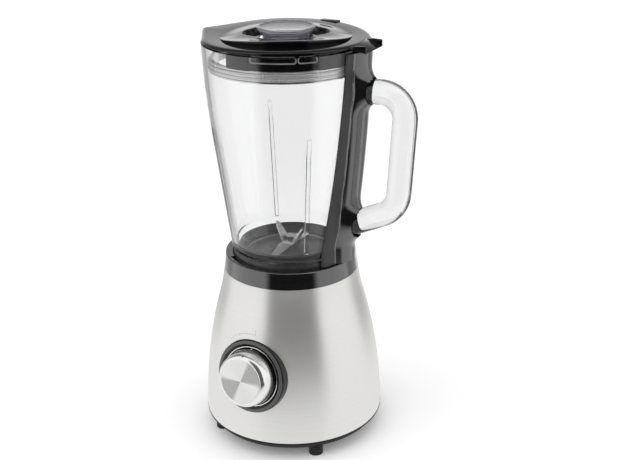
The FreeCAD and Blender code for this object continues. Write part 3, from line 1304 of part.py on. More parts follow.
# ---------------------------------------------------------------- lid
def make_lid():
    """Black lid: flange, dome, skirt with its opening, beak over the spout and tongue over the spine."""
    inner = land_radius - mm.lid_wall
    lip = land_level + mm.seal_lip
    edge = lid_radius - mm.lid_edge_round
    under = dome_top - mm.lid_plate
    corners = [
        (inner, land_level), (skirt_radius, land_level), (skirt_radius, lip), (land_radius, lip),
        (land_radius, skirt_level), (skirt_radius, skirt_level), (skirt_radius, mm.lid_level),
        (lid_radius, mm.lid_level), (lid_radius, lid_top - mm.lid_edge_round), (edge, lid_top),
        (dome_foot_radius, lid_top), (dome_top_radius, dome_top), (mm.cap_bore, dome_top),
        (mm.cap_bore, under), (dome_top_radius - mm.lid_wall, under),
        (dome_foot_radius - mm.lid_wall, mm.lid_level), (inner, mm.lid_level),
    ]
    body = turned_body("lid", corners, {8: mm.lid_edge_round, 10: mm.dome_bend})
    sketch = new_sketch(body, "pour_opening", "XZ_Plane", 0, 180)
    draw_box(sketch, inner - 1, skirt_level, skirt_radius + 1, mm.lid_level)
    groove(body, sketch, mm.skirt_gap_angle, midplane=True)
    add_beak(body)
    add_tongue(body)
    sketch = new_sketch(body, "tab", "XY_Plane", lid_top, mm.tab_turn, (0, 0, 1))
    draw_box(sketch, -(mm.tab_width / 2), skirt_radius - mm.tab_width / 2, mm.tab_width / 2, edge - mm.fit_gap)
    pad(body, sketch, mm.tab_height)
    holes_around(body, "scoop", dome_top, mm.scoop_ring, mm.scoop_radius, mm.scoop_depth, 2, mm.scoop_turn)
    keep(body)
    band = skirt_radius
    foot = lip + mm.fit_gap
    ridge = mm.seal_ridge / 2
    corners = [(land_radius + mm.running_fit, foot), (band, foot)]
    for number in range(2):
        middle = foot + mm.seal_pitch * (number + 0.8)
        corners += [(band, middle - ridge), (band + mm.seal_ridge, middle), (band, middle + ridge)]
    corners += [(band, skirt_level - mm.fit_gap), (land_radius + mm.running_fit, skirt_level - mm.fit_gap)]
    keep(turned_body("lid_seal", corners))


def add_beak(body):
    """Pointed beak over the spout, tangent to the flange."""
    centre = beak_reach - mm.beak_round
    share = (lid_radius.value - mm.beak_round.value) / centre.value
    angle = math.degrees(math.acos(share))
    flange_x, flange_y = lid_radius * cosine(angle), lid_radius * sine(angle)
    tip_x, tip_y = centre + mm.beak_round * cosine(angle), mm.beak_round * sine(angle)
    sketch = new_sketch(body, "beak", "XY_Plane", mm.lid_level)
    draw_path(sketch, [(-flange_x, flange_y), (-tip_x, tip_y), (-tip_x, -tip_y), (-flange_x, -flange_y)],
              {1: mm.beak_round})
    pad(body, sketch, mm.lid_plate)


def add_tongue(body):
    """Tongue over the spine: a ramp between two raised wings."""
    wide = mm.tongue_root_half
    root = square_root(lid_radius * lid_radius - wide * wide)
    reach = tongue_reach
    ramp_end = lid_top - mm.ramp_drop
    sketch = new_sketch(body, "tongue", "XY_Plane", ramp_end)
    draw_path(sketch, [(root, -wide), (reach, -mm.tongue_end_half), (reach, mm.tongue_end_half), (root, wide)])
    pad(body, sketch, mm.ramp_drop)
    sketch = new_sketch(body, "ramp", "XZ_Plane")
    draw_path(sketch, [(lid_radius, lid_top), (reach, ramp_end + mm.wing_height), (reach, lid_top)])
    pocket(body, sketch, wide * 2, midplane=True)
    sketch = new_sketch(body, "wings", "XY_Plane", ramp_end + mm.wing_height)
    for side in (1, -1):
        root_edge, end_edge = side * wide, side * mm.tongue_end_half
        width = side * mm.wing_width
        wing = [(root, root_edge), (root, root_edge - width), (reach, end_edge - width), (reach, end_edge)]
        draw_path(sketch, wing if side < 0 else wing[::-1])
    pad(body, sketch, mm.ramp_drop)
    sketch = new_sketch(body, "underside", "XZ_Plane")
    draw_path(sketch, [(root, ramp_end), (reach, ramp_end), (lid_radius, mm.lid_level), (root, mm.lid_level)])
    pocket(body, sketch, wide * 2, midplane=True)


def make_measuring_cap():
    """Clear cap: a disc over the lid's hole with a measuring cup below it, open at the bottom."""
    cup_inner = mm.cap_stem_radius - mm.cap_wall
    foot = cap_level - mm.cap_depth
    edge = mm.cap_radius - mm.lid_edge_round
    disc_level = cap_level + mm.cap_neck
    cap_top = disc_level + mm.cap_disc
    corners = [
        (cup_inner, foot), (mm.cap_stem_radius, foot), (mm.cap_stem_radius, cap_level),
        (mm.cap_neck_radius, cap_level), (mm.cap_neck_radius, disc_level), (mm.cap_radius, disc_level),
        (mm.cap_radius, cap_top - mm.lid_edge_round), (edge, cap_top), (0, cap_top), (0, disc_level),
        (cup_inner, disc_level),
    ]
    keep(turned_body("measuring_cap", corners, {6: mm.lid_edge_round}))


# ---------------------------------------------------------------- knob, switch and electrics
def make_knob():
    """Speed knob: bezel with its bright trim, black skirt, metal cap, spindle, switch and nut."""
    hole = mm.bush_thread + mm.fit_gap
    wall = mm.bezel_radius - mm.bezel_wall
    bezel = turned_body("knob_bezel", [
        (hole, mm.bezel_floor - mm.bezel_plate), (wall, mm.bezel_floor - mm.bezel_plate), (wall, -mm.bezel_depth),
        (mm.bezel_radius, -mm.bezel_depth), (mm.bezel_radius, mm.bezel_edge_height),
        (mm.bezel_lip_radius, mm.bezel_height), (mm.bezel_lip_radius, mm.bezel_floor), (hole, mm.bezel_floor)])
    trim_outer = mm.bezel_lip_radius - mm.running_fit
    trim = sleeve("bezel_trim_ring", trim_outer, mm.bezel_recess_radius, mm.bezel_floor,
                  mm.bezel_height - mm.bezel_floor - mm.trim_width)
    skirt = turned_body("knob_body", [
        (mm.spindle_radius, mm.knob_skirt_level), (mm.knob_skirt_radius, mm.knob_skirt_level),
        (mm.knob_skirt_radius, mm.bezel_height - mm.trim_width), (mm.knob_radius, mm.knob_cap_level),
        (mm.knob_radius - mm.knob_shell, mm.knob_cap_level),
        (mm.knob_radius - mm.knob_shell, mm.knob_top - mm.knob_shell),
        (mm.spindle_radius, mm.knob_top - mm.knob_shell)])
    cap = turned_body("knob_cap", [
        (mm.knob_radius - mm.knob_shell, mm.knob_cap_level), (mm.knob_radius, mm.knob_cap_level),
        (mm.knob_radius, mm.knob_top - mm.knob_bevel), (mm.knob_radius - mm.knob_bevel, mm.knob_top),
        (0, mm.knob_top), (0, mm.knob_top - mm.knob_shell),
        (mm.knob_radius - mm.knob_shell, mm.knob_top - mm.knob_shell)])
    switch_top = mm.bezel_floor - mm.bezel_plate
    spindle_foot = switch_top - mm.switch_depth / 2
    spindle = sleeve("knob_spindle", mm.spindle_radius, as_size(0), spindle_foot,
                     mm.knob_top - mm.knob_shell - spindle_foot)
    switch = new_body("rotary_switch")
    half = mm.switch_side / 2
    sketch = new_sketch(switch, "case", "XY_Plane", switch_top - mm.switch_depth)
    draw_box(sketch, -half, -half, half, half)
    pad(switch, sketch, mm.switch_depth)
    sketch = new_sketch(switch, "bush", "XY_Plane", switch_top)
    draw_circle(sketch, 0, 0, mm.bush_thread)
    pad(switch, sketch, mm.bezel_plate + mm.switch_nut_height)
    sketch = new_sketch(switch, "bore", "XY_Plane", spindle_foot - mm.fit_gap)
    draw_circle(sketch, 0, 0, mm.spindle_radius + mm.running_fit)
    pocket(switch, sketch, mm.switch_depth + mm.bezel_plate, reverse=True)
    nut = sleeve("switch_nut", mm.switch_nut, mm.bush_thread + mm.running_fit, mm.bezel_floor, mm.switch_nut_height)
    for body in (bezel, trim, skirt, cap, spindle, switch, nut):
        keep(put_on_knob_axis(body))


def make_interlock():
    """Spring-loaded pin in the well's floor, and the small switch under it."""
    pin_top = well_level + mm.pin_rise
    collar_top = mm.shell_top_level - mm.fit_gap
    collar_foot = collar_top - mm.pin_collar_height
    pin_foot = frame_plate_level + mm.pin_travel + mm.fit_gap
    pin = turned_body("interlock_pin", [
        (0, pin_foot), (mm.pin_radius, pin_foot), (mm.pin_radius, collar_foot), (mm.pin_collar, collar_foot),
        (mm.pin_collar, collar_top), (mm.pin_radius, collar_top), (mm.pin_radius, pin_top), (0, pin_top)])
    spring = new_body("pin_spring")
    add_spring(spring, frame_plate_level, mm.pin_collar - mm.spring_wire, collar_foot - frame_plate_level, "V_Axis")
    for body in (pin, spring):
        keep(place(body, 0, pin_ring, 0))
    switch = simple("Part::Box", "micro_switch", Length=mm.micro_switch_width, Width=mm.micro_switch_side,
                    Height=mm.micro_switch_side)
    place(switch, -(mm.micro_switch_width / 2), pin_ring - mm.micro_switch_side / 2,
          frame_plate_level - mm.micro_switch_side)
    keep(switch)


def make_electrics():
    """Circuit board on its posts, its larger components, and the cord inlet bush."""
    board = simple("Part::Box", "circuit_board", Length=mm.board_width, Width=mm.board_thickness,
                   Height=mm.board_height)
    place(board, -(mm.board_width / 2), board_distance, plate_floor_level)
    keep(board)
    parts = new_body("board_components")
    step = mm.board_width / 6
    low = plate_floor_level + step
    sketch = new_sketch(parts, "blocks", "XZ_Plane", -board_distance)
    for across, up in ((-2, 0), (1, 0), (-2, 3), (1, 3)):
        left = step * across
        foot = low + step * up
        draw_box(sketch, left, foot, left + step, foot + step * 2)
    pad(parts, sketch, mm.component_height)
    keep(parts)
    outer = mm.inlet_radius + mm.plate_wall - mm.running_fit
    bush = new_body("cord_inlet_bush")
    reach = mm.shell_foot_radius - mm.inlet_length + mm.fit_gap
    sketch = new_sketch(bush, "tube", "XZ_Plane", -reach)
    draw_circle(sketch, 0, mm.inlet_level, outer)
    draw_circle(sketch, 0, mm.inlet_level, mm.inlet_radius)
    pad(bush, sketch, mm.inlet_length, reverse=True)
    keep(bush)


# ---------------------------------------------------------------- build
def check(thing):
    """Stop where an object could not be computed or has no sound shape."""
    for state in thing.State:
        if state in ("Invalid", "Error"):
            raise RuntimeError(f"{thing.Label} is {state}")
    shape = getattr(thing, "Shape", None)
    if shape is not None and not thing.isDerivedFrom("Sketcher::SketchObject"):
        if shape.isNull() or not shape.isValid():
            raise RuntimeError(f"{thing.Label} has no sound shape")


make_base_shell()
make_base_plate()
make_feet()
make_plate_screws()
make_inner_frame()
make_seat_ring()
make_brackets()
make_bearings()
make_stator()
make_motor_bolts()
make_motor_mounts()
make_brushes()
make_rotor()
make_jug_glass()
make_collar()
make_spine()
make_blades()
make_lid()
make_measuring_cap()
make_knob()
make_interlock()
make_electrics()
doc.recompute()
for item in doc.Objects:
    if item.isDerivedFrom("App::GeoFeature") and not item.isDerivedFrom("App::OriginFeature"):
        check(item)
os.makedirs("parts", exist_ok=True)
for node in NODES:
    node.Shape.exportStep(f"parts/{node.Label}.step")
print(f"{len(NODES)} sub-parts written")
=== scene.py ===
import json
import math

import bmesh
import bpy
from bpy.props import FloatProperty, FloatVectorProperty, PointerProperty
from mathutils import Matrix, Vector


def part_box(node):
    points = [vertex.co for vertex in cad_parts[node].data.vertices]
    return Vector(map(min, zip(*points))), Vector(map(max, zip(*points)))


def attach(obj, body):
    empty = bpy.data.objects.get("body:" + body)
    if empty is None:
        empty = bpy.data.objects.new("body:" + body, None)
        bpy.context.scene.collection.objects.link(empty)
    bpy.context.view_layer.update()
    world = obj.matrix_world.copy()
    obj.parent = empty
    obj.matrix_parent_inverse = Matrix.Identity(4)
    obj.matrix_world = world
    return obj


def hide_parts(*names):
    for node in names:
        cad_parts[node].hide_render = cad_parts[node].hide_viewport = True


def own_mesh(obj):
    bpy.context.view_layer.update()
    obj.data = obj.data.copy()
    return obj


bl_info = {
    "name": "Countertop Blender",
    "version": (1, 0, 0),
    "blender": (4, 5, 0),
    "location": "View3D > Sidebar > Blender",
    "description": "Builds the visible pieces of a countertop blender around its CAD frame",
    "category": "Object",
}

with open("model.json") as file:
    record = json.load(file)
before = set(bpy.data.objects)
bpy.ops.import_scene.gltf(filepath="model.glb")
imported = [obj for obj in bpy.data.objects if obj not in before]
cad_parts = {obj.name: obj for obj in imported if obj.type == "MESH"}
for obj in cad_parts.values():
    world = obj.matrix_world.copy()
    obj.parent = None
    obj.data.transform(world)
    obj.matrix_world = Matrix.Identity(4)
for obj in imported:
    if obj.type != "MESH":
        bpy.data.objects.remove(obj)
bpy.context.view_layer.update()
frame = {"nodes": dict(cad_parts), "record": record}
MM = 0.001
SEGMENTS = 192
KNOB_TILT = math.radians(10)
KNOB_FRAME = Matrix.Translation((0, -0.0799, 0.0867)) @ Matrix.Rotation(math.radians(90) - KNOB_TILT, 4, "X")


# ---------------------------------------------------------------- settings
def length(name, default, description):
    """A length in metres that a user can change."""
    return FloatProperty(name=name, description=description, default=default, unit="LENGTH", precision=5)


def colour(name, default, description):
    """A colour that a user can change."""
    return FloatVectorProperty(name=name, description=description, default=default, size=3,
                               min=0, max=1, subtype="COLOR")


class BlenderSizes(bpy.types.PropertyGroup):
    """Sizes of the visible pieces that the CAD frame leaves open."""

    crest: length("Crest", 0.0056, "How far the front of the lid's dome stands above the flange")
    sweep: length("Sweep", 0.0023, "How far the lid's top is swept up at the front right")
    flare: length("Flare", 0.006, "How far the spine rises around a root of the handle")
    knob_face: length("Knob face", 0.02433, "Height of the knob's face above its bezel's centre")
    spring_wire: length("Spring wire", 0.00035, "Radius of the wire of the interlock pin's spring")
    mark_width: length("Mark width", 0.0006, "Width of a printed mark around the knob")


class BlenderColours(bpy.types.PropertyGroup):
    """Colours of the finishes."""

    steel: colour("Steel", (0.855, 0.85, 0.835), "Brushed steel of the base")
    bright: colour("Bright metal", (0.88, 0.88, 0.87), "Polished and spun metal")
    gloss: colour("Gloss black", (0.004, 0.004, 0.0045), "Glossy black mouldings")
    satin: colour("Satin black", (0.028, 0.028, 0.029), "Satin black mouldings")
    glass: colour("Glass", (0.945, 0.945, 0.947), "Tint of the pressed glass")
    cap: colour("Cap", (0.58, 0.57, 0.61), "Smoky plastic of the measuring cap")
    floor: colour("Floor", (0.92, 0.92, 0.92), "Pale floor")


def size(name):
    """One of the sizes, in millimetres."""
    return round(getattr(bpy.context.scene.blender_sizes, name) / MM, 4)


def colours():
    """The colours of the current scene."""
    return bpy.context.scene.blender_colours


# ---------------------------------------------------------------- mesh helpers
def placed(name, data):
    """A new object in the scene."""
    made = bpy.data.objects.new(name, data)
    bpy.context.scene.collection.objects.link(made)
    return made


def new_piece(name, points, faces, material, smooth_angle=38, material_of=None):
    """A mesh object from points in millimetres.

    material may be a list, from which material_of(face index) chooses."""
    mesh = bpy.data.meshes.new(name)
    mesh.from_pydata([Vector(point) * MM for point in points], [], faces)
    for one in material if isinstance(material, list) else [material]:
        mesh.materials.append(one)
    if material_of:
        for polygon in mesh.polygons:
            polygon.material_index = material_of(polygon.index)
    mesh.update()
    piece = placed(name, mesh)
    tidy_mesh(piece, smooth_angle)
    return piece


def tidy_mesh(piece, smooth_angle=38):
    """Merge doubles, turn faces outward and shade smooth between sharp edges."""
    work = bmesh.new()
    work.from_mesh(piece.data)
    bmesh.ops.remove_doubles(work, verts=work.verts, dist=1e-6)
    bmesh.ops.recalc_face_normals(work, faces=work.faces)
    work.to_mesh(piece.data)
    work.free()
    for polygon in piece.data.polygons:
        polygon.use_smooth = True
    piece.data.set_sharp_from_angle(angle=math.radians(smooth_angle))


def bevel(piece, width):
    """Round a piece's sharp edges, in its mesh."""
    modifier = piece.modifiers.new("Rounding", "BEVEL")
    modifier.width = width * MM
    modifier.segments = 3
    modifier.limit_method = "ANGLE"
    modifier.angle_limit = math.radians(35)
    modifier.use_clamp_overlap = True
    graph = bpy.context.evaluated_depsgraph_get()
    rounded = bpy.data.meshes.new_from_object(piece.evaluated_get(graph))
    piece.modifiers.clear()
    plain, piece.data = piece.data, rounded
    bpy.data.meshes.remove(plain)
    tidy_mesh(piece)


def spot_at(radius, angle, height):
    """A point at an angle from -Y towards +X."""
    return radius * math.sin(angle), -radius * math.cos(angle), height


def between(low, high, share):
    """The value at a share of the way from one to another."""
    return low + (high - low) * share


def lathe(name, profile, material, angles=None, shape=None, smooth_angle=38, materials_by_row=None):
    """Turn a closed profile of (radius, height) about Z.

    shape(radius, height, angle) may move a point; materials_by_row(row) chooses from a list."""
    angles = angles or [math.tau * step / SEGMENTS for step in range(SEGMENTS)]
    columns = len(angles)
    points, rows = [], []
    for radius, height in profile:
        if radius < 1e-6:
            rows.append([len(points)] * columns)
            points.append((0, 0, height))
            continue
        rows.append(list(range(len(points), len(points) + columns)))
        for angle in angles:
            reach, level = shape(radius, height, angle) if shape else (radius, height)
            points.append(spot_at(reach, angle, level))
    faces, owners = [], []
    for row in range(len(profile)):
        following = (row + 1) % len(profile)
        if profile[row][0] < 1e-6 and profile[following][0] < 1e-6:
            continue
        for column in range(columns):
            beside = (column + 1) % columns
            corners = [rows[row][column], rows[row][beside],
                       rows[following][beside], rows[following][column]]
            face = list(dict.fromkeys(corners))
            if len(face) > 2:
                faces.append(face)
                owners.append(row)
    chosen = (lambda index: materials_by_row(owners[index])) if materials_by_row else None
    return new_piece(name, points, faces, material, smooth_angle, chosen)


def ring_faces(rings, count, closed=False):
    """Faces between rings of count points that follow each other; open ends get a face each."""
    faces = []
    for ring in range(rings if closed else rings - 1):
        here, there = ring * count, (ring + 1) % rings * count
        for step in range(count):
            beside = (step + 1) % count
            faces.append([here + step, here + beside, there + beside, there + step])
    if not closed:
        last = (rings - 1) * count
        faces += [list(range(count)), list(range(last, last + count))]
    return faces


def block(name, near, far, material, rounding):
    """A solid with soft edges between two outlines that have as many points."""
    piece = new_piece(name, near + far, ring_faces(2, len(near)), material)
    bevel(piece, rounding)
    return piece


def join(pieces, name):
    """One piece from several, with their materials."""
    target = pieces[0]
    work = bmesh.new()
    materials = []
    for piece in pieces:
        start = len(work.faces)
        work.from_mesh(piece.data)
        work.faces.ensure_lookup_table()
        for face in work.faces[start:]:
            material = piece.data.materials[face.material_index]
            if material not in materials:
                materials.append(material)
            face.material_index = materials.index(material)
    mesh = bpy.data.meshes.new(name)
    for material in materials:
        mesh.materials.append(material)
    work.to_mesh(mesh)
    work.free()
    for piece in pieces[1:]:
        bpy.data.objects.remove(piece)
    target.data = mesh
    target.name = name
    tidy_mesh(target)
    return target


def settle(piece, body, slot, *nodes):
    """Fix a piece to its body, in place of CAD nodes, which it hides. slot is not used."""
    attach(piece, body)
    if nodes:
        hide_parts(*nodes)


# ---------------------------------------------------------------- node helpers
def put(tree, kind, inputs=None, **attributes):
    """Add a shader node; inputs holds plain values or the outputs that feed it."""
    node = tree.nodes.new("ShaderNode" + kind)
    for name, value in attributes.items():
        setattr(node, name, value)
    for key, value in (inputs or {}).items():
        if isinstance(value, bpy.types.NodeSocket):
            tree.links.new(value, node.inputs[key])
        else:
            node.inputs[key].default_value = value
    return node


def own_place(tree):
    """The place on a piece in its own frame."""
    return put(tree, "TexCoord").outputs["Object"]


def shader(tree, kind, *inputs):
    """The output of a shader node with its first inputs."""
    return put(tree, kind, dict(enumerate(inputs))).outputs[0]


def calc(tree, operation, first, second=0.5, third=0.5):
    """A number worked out from others."""
    return put(tree, "Math", {0: first, 1: second, 2: third}, operation=operation).outputs[0]


def scaled(tree, value, by, plus=0.0):
    """A value times another, plus a third."""
    return calc(tree, "MULTIPLY_ADD", value, by, plus)


def rescale(tree, value, low, high, smooth=False):
    """0 at low, 1 at high, kept within them."""
    node = put(tree, "MapRange", {0: value, 1: low, 2: high})
    node.interpolation_type = "SMOOTHSTEP" if smooth else "LINEAR"
    return node.outputs[0]


def blend_colour(tree, factor, first, second):
    """A colour between two others, which are tones or outputs."""
    ends = [end if isinstance(end, bpy.types.NodeSocket) else rgba(end) for end in (first, second)]
    return put(tree, "Mix", {0: factor, 6: ends[0], 7: ends[1]}, data_type="RGBA").outputs[2]


def noise(tree, vector, scale, detail=2.0, roughness=0.5):
    """A smooth random value from 0 to 1."""
    inputs = {"Vector": vector, "Scale": scale, "Detail": detail, "Roughness": roughness}
    return put(tree, "TexNoise", inputs).outputs["Fac"]


def stretched(tree, vector, scale):
    """A vector scaled by its own amount on each axis."""
    return put(tree, "VectorMath", {0: vector, 1: scale}, operation="MULTIPLY").outputs[0]


def turned(tree, vector, axis, angle):
    """A vector turned about an axis."""
    return put(tree, "VectorRotate", {"Vector": vector, "Axis": axis, "Angle": angle}).outputs[0]


def from_axis(tree, place):
    """How far a place is from the Z axis."""
    level = stretched(tree, place, (1, 1, 0))
    return put(tree, "VectorMath", {0: level}, operation="LENGTH").outputs["Value"]


def rgba(tone):
    """A colour with its alpha."""
    return (*tone, 1.0)


def darker(tone, share):
    """A colour darkened to a share."""
    return [share * value for value in tone]


def effect(name, inputs, outputs, build):
    """A shader node group, built once; build(tree, inputs) returns the outputs in order."""
    if name in bpy.data.node_groups:
        return bpy.data.node_groups[name]
    tree = bpy.data.node_groups.new(name, "ShaderNodeTree")
    for label, default in inputs:
        socket = tree.interface.new_socket(label, in_out="INPUT", socket_type="NodeSocketFloat")
        socket.default_value = default
    for label in outputs:
        tree.interface.new_socket(label, in_out="OUTPUT", socket_type="NodeSocketFloat")
    entry = tree.nodes.new("NodeGroupInput")
    leave = tree.nodes.new("NodeGroupOutput")
    for number, value in enumerate(build(tree, entry.outputs)):
        tree.links.new(value, leave.inputs[number])
    return tree


def build_grain(tree, given):
    """Long fine lines left by an abrasive belt, around the Z axis."""
    place = own_place(tree)
    along, across = given["Along"], given["Across"]
    scale = put(tree, "CombineXYZ", {0: along, 1: along, 2: across}).outputs[0]
    fine = noise(tree, stretched(tree, place, scale), 1.0, 3.0, 0.7)
    wider = stretched(tree, scale, (0.35, 0.35, 0.16))
    broad = noise(tree, stretched(tree, place, wider), 1.0)
    lines = scaled(tree, fine, 0.65, scaled(tree, broad, 0.35))
    return [lines, rescale(tree, lines, 0.35, 0.65)]


def build_handling(tree, given):
    """Faint smudges, dust and hairline scratches from use."""
    place = own_place(tree)
    smudge = noise(tree, place, given["Smudge Scale"], 4.0, 0.6)
    specks = put(tree, "TexVoronoi", {"Vector": place, "Scale": given["Dust Scale"]}, feature="F1")
    dots = rescale(tree, specks.outputs["Distance"], 0.16, 0.05, smooth=True)
    dust = scaled(tree, dots, rescale(tree, noise(tree, place, 60.0, 1.0), 0.55, 0.75))
    slanted = turned(tree, place, (0.3, 0.5, 0.8), 0.9)
    hair = noise(tree, stretched(tree, slanted, (30.0, 900.0, 160.0)), 1.0, 1.0)
    worn = rescale(tree, smudge, 0.45, 0.6)
    scratches = scaled(tree, rescale(tree, hair, 0.66, 0.72), worn)
    return [rescale(tree, smudge, 0.35, 0.7), dust, scratches]


def build_polished_highlit_edges(tree, given):
    """Edges that handling has polished; where a moulding lightens them, that is partly rubbed wear and partly
    a painted highlight.
    """
    bare = put(tree, "NewGeometry").outputs["Pointiness"]
    place = own_place(tree)
    broken = rescale(tree, noise(tree, place, 130.0, 3.0), 0.35, 0.6)
    edge = rescale(tree, bare, given["Start"], calc(tree, "ADD", given["Start"], 0.05))
    return [scaled(tree, edge, broken)]


def build_moulding(tree, given):
    """The faint texture that a mould leaves on plastic."""
    place = own_place(tree)
    fine = scaled(tree, noise(tree, place, given["Fine Scale"]), given["Fine Amount"])
    wave = noise(tree, place, given["Wave Scale"], 1.0)
    return [scaled(tree, wave, given["Wave Amount"], fine)]


def build_turning(tree, given):
    """Rings left by a turning tool around the piece's own Z axis."""
    outward = scaled(tree, from_axis(tree, own_place(tree)), given["Rings"])
    line = put(tree, "CombineXYZ", {0: outward}).outputs[0]
    return [noise(tree, line, 1.0, 3.0, 0.7)]


def build_painted_reflection_fans(tree, given):
    """Two opposite darker fans around the piece's own Z axis: a painted reflection, like the fans that spun
    metal mirrors from its surroundings.
    """
    place = own_place(tree)
    parts = put(tree, "SeparateXYZ", {0: place})
    angle = calc(tree, "ARCTAN2", parts.outputs["Y"], parts.outputs["X"])
    double = scaled(tree, calc(tree, "SUBTRACT", angle, given["Turn"]), 2.0)
    return [rescale(tree, calc(tree, "COSINE", double), 0.05, 0.62, smooth=True)]


EFFECTS = {
    "Brushed Grain": ((("Along", 14.0), ("Across", 2600.0)), ("Height", "Mask"), build_grain),
    "Handling Marks": ((("Smudge Scale", 22.0), ("Dust Scale", 420.0)),
                       ("Smudge", "Dust", "Scratches"), build_handling),
    "Polished Edges With Painted Highlight": ((("Start", 0.53),), ("Edge",), build_polished_highlit_edges),
    "Moulded Texture": ((("Fine Scale", 2600.0), ("Fine Amount", 1.0),
                         ("Wave Scale", 45.0), ("Wave Amount", 0.0)), ("Height",), build_moulding),
    "Turned Rings": ((("Rings", 2200.0),), ("Height",), build_turning),
    # fans of painted reflection for spun metal
    "Painted Reflection Fans": ((("Turn", 0.6),), ("Mask",), build_painted_reflection_fans),
}


def use(tree, name, **values):
    """Place one of the shared effects in a material, with its own values."""
    node = put(tree, "Group", node_tree=effect(name, *EFFECTS[name]))
    for label, value in values.items():
        node.inputs[label.replace("_", " ")].default_value = value
    return node.outputs


def dulled(tree, scale, spread, rough=0.0):
    """A roughness that handling raises in patches."""
    return scaled(tree, use(tree, "Handling Marks", Smudge_Scale=scale)["Smudge"], spread, rough)


def bumped(tree, height, distance, strength=1.0):
    """A normal from a height in 0 to 1, for a relief of so many millimetres."""
    inputs = {"Height": height, "Strength": strength, "Distance": distance * MM}
    return put(tree, "Bump", inputs).outputs[0]


def around_axis(tree):
    """A tangent around the piece's own Z axis."""
    return put(tree, "Tangent", direction_type="RADIAL", axis="Z").outputs[0]


def finish_of(name, feeds, **plain):
    """A material around one Principled shader.

    feeds(tree) returns what feeds its sockets, and plain holds its constants."""
    if name in bpy.data.materials:
        return bpy.data.materials[name]
    material = bpy.data.materials.new(name)
    material.use_nodes = True
    tree = material.node_tree
    shader = tree.nodes["Principled BSDF"]
    for label, value in plain.items():
        shader.inputs[label.replace("_", " ")].default_value = value
    for label, value in feeds(tree).items():
        tree.links.new(value, shader.inputs[label])
    return material


# ---------------------------------------------------------------- finishes
def brushed_steel():
    """Steel sheet brushed around the body."""
    tone = colours().steel

    def feeds(tree):
        grain = use(tree, "Brushed Grain", Along=2.0, Across=3600.0)
        level = scaled(tree, grain["Mask"], 0.05, 0.30)
        return {
            "Base Color": blend_colour(tree, grain["Mask"], darker(tone, 0.93), tone),
            "Roughness": dulled(tree, 14.0, 0.03, level),
            "Normal": bumped(tree, grain["Height"], 0.006, 0.35),
            "Tangent": around_axis(tree),
        }

    return finish_of("Brushed steel", feeds, Metallic=0.80, Anisotropic=0.6, Anisotropic_Rotation=0.25)


def spun_metal():
    """Turned face of the knob: fine rings, and two darker fans painted in as the reflection that such rings
    show.
    """
    tone = colours().bright

    def feeds(tree):
        rings = use(tree, "Turned Rings", Rings=2600.0)
        painted_reflection_fans = use(tree, "Painted Reflection Fans", Turn=0.62)
        dull = blend_colour(tree, rings["Height"], darker(tone, 0.92), tone)
        return {
            # the darker fans are painted reflection, not a colour of the metal
            "Base Color": blend_colour(tree, painted_reflection_fans["Mask"], dull, darker(tone, 0.52)),
            "Roughness": scaled(tree, rings["Height"], 0.08, 0.22),
            "Normal": bumped(tree, rings["Height"], 0.004, 0.4),
            "Tangent": around_axis(tree),
        }

    return finish_of("Spun metal", feeds, Metallic=0.95, Anisotropic=0.6)


def smudged(name, clean, handled, rough, spread, scale, relief=None, texture=None, **plain):
    """A smooth finish that handling dulls in patches.

    relief is a depth in millimetres and a strength, and texture the values of the moulded texture."""
    def feeds(tree):
        smudge = use(tree, "Handling Marks", Smudge_Scale=scale)["Smudge"]
        found = {
            "Base Color": blend_colour(tree, smudge, clean, handled),
            "Roughness": scaled(tree, smudge, spread, rough),
        }
        if relief:
            height = use(tree, "Moulded Texture", **texture)["Height"]
            found["Normal"] = bumped(tree, height, *relief)
        return found

    return finish_of(name, feeds, **plain)


def polished_metal():
    """Bright trim."""
    tone = colours().bright
    return smudged("Polished metal", tone, darker(tone, 0.92), 0.10, 0.08, 60.0, Metallic=0.92)


def ground_steel():
    """Ground steel of the blades."""
    def feeds(tree):
        grain = use(tree, "Brushed Grain", Along=260.0, Across=900.0)
        return {
            "Base Color": blend_colour(tree, grain["Mask"], (0.56, 0.56, 0.55), (0.70, 0.70, 0.69)),
            "Roughness": dulled(tree, 70.0, 0.10, 0.20),
            "Normal": bumped(tree, grain["Height"], 0.008, 0.5),
        }

    return finish_of("Ground steel", feeds, Metallic=1.0)


def plain_metal(name, dark, light, rough, depth=0.01):
    """A plain metal with a slight grain."""
    grain = {"Fine_Scale": 1500.0, "Wave_Scale": 120.0, "Wave_Amount": 0.5}
    return smudged(name, light, dark, rough, 0.12, 45.0, (depth, 0.6), grain, Metallic=1.0)


def banded_metal(name, dark, light, pattern, direction, rough, polish, relief, metallic):
    """Thin bands side by side, as of stacked sheets or wound wire."""
    def feeds(tree):
        bands = put(tree, "TexWave", {"Vector": own_place(tree), **pattern},
                    wave_type="BANDS", bands_direction=direction).outputs["Fac"]
        return {
            "Base Color": blend_colour(tree, bands, dark, light),
            "Roughness": scaled(tree, bands, -polish, rough),
            "Normal": bumped(tree, bands, relief, 0.8),
        }

    return finish_of(name, feeds, Metallic=metallic)


def layered_iron():
    """Stacked motor laminations."""
    return banded_metal("Iron laminations", (0.10, 0.10, 0.11), (0.26, 0.26, 0.27),
                        {"Scale": 320.0, "Distortion": 0.2}, "Z",
                        rough=0.55, polish=0.12, relief=0.08, metallic=0.9)


def wound_copper():
    """Enamelled copper wire laid side by side."""
    return banded_metal("Wound copper", (0.30, 0.09, 0.035), (0.66, 0.28, 0.13),
                        {"Scale": 210.0, "Distortion": 1.2, "Detail": 1.0}, "DIAGONAL",
                        rough=0.42, polish=0.15, relief=0.2, metallic=0.85)


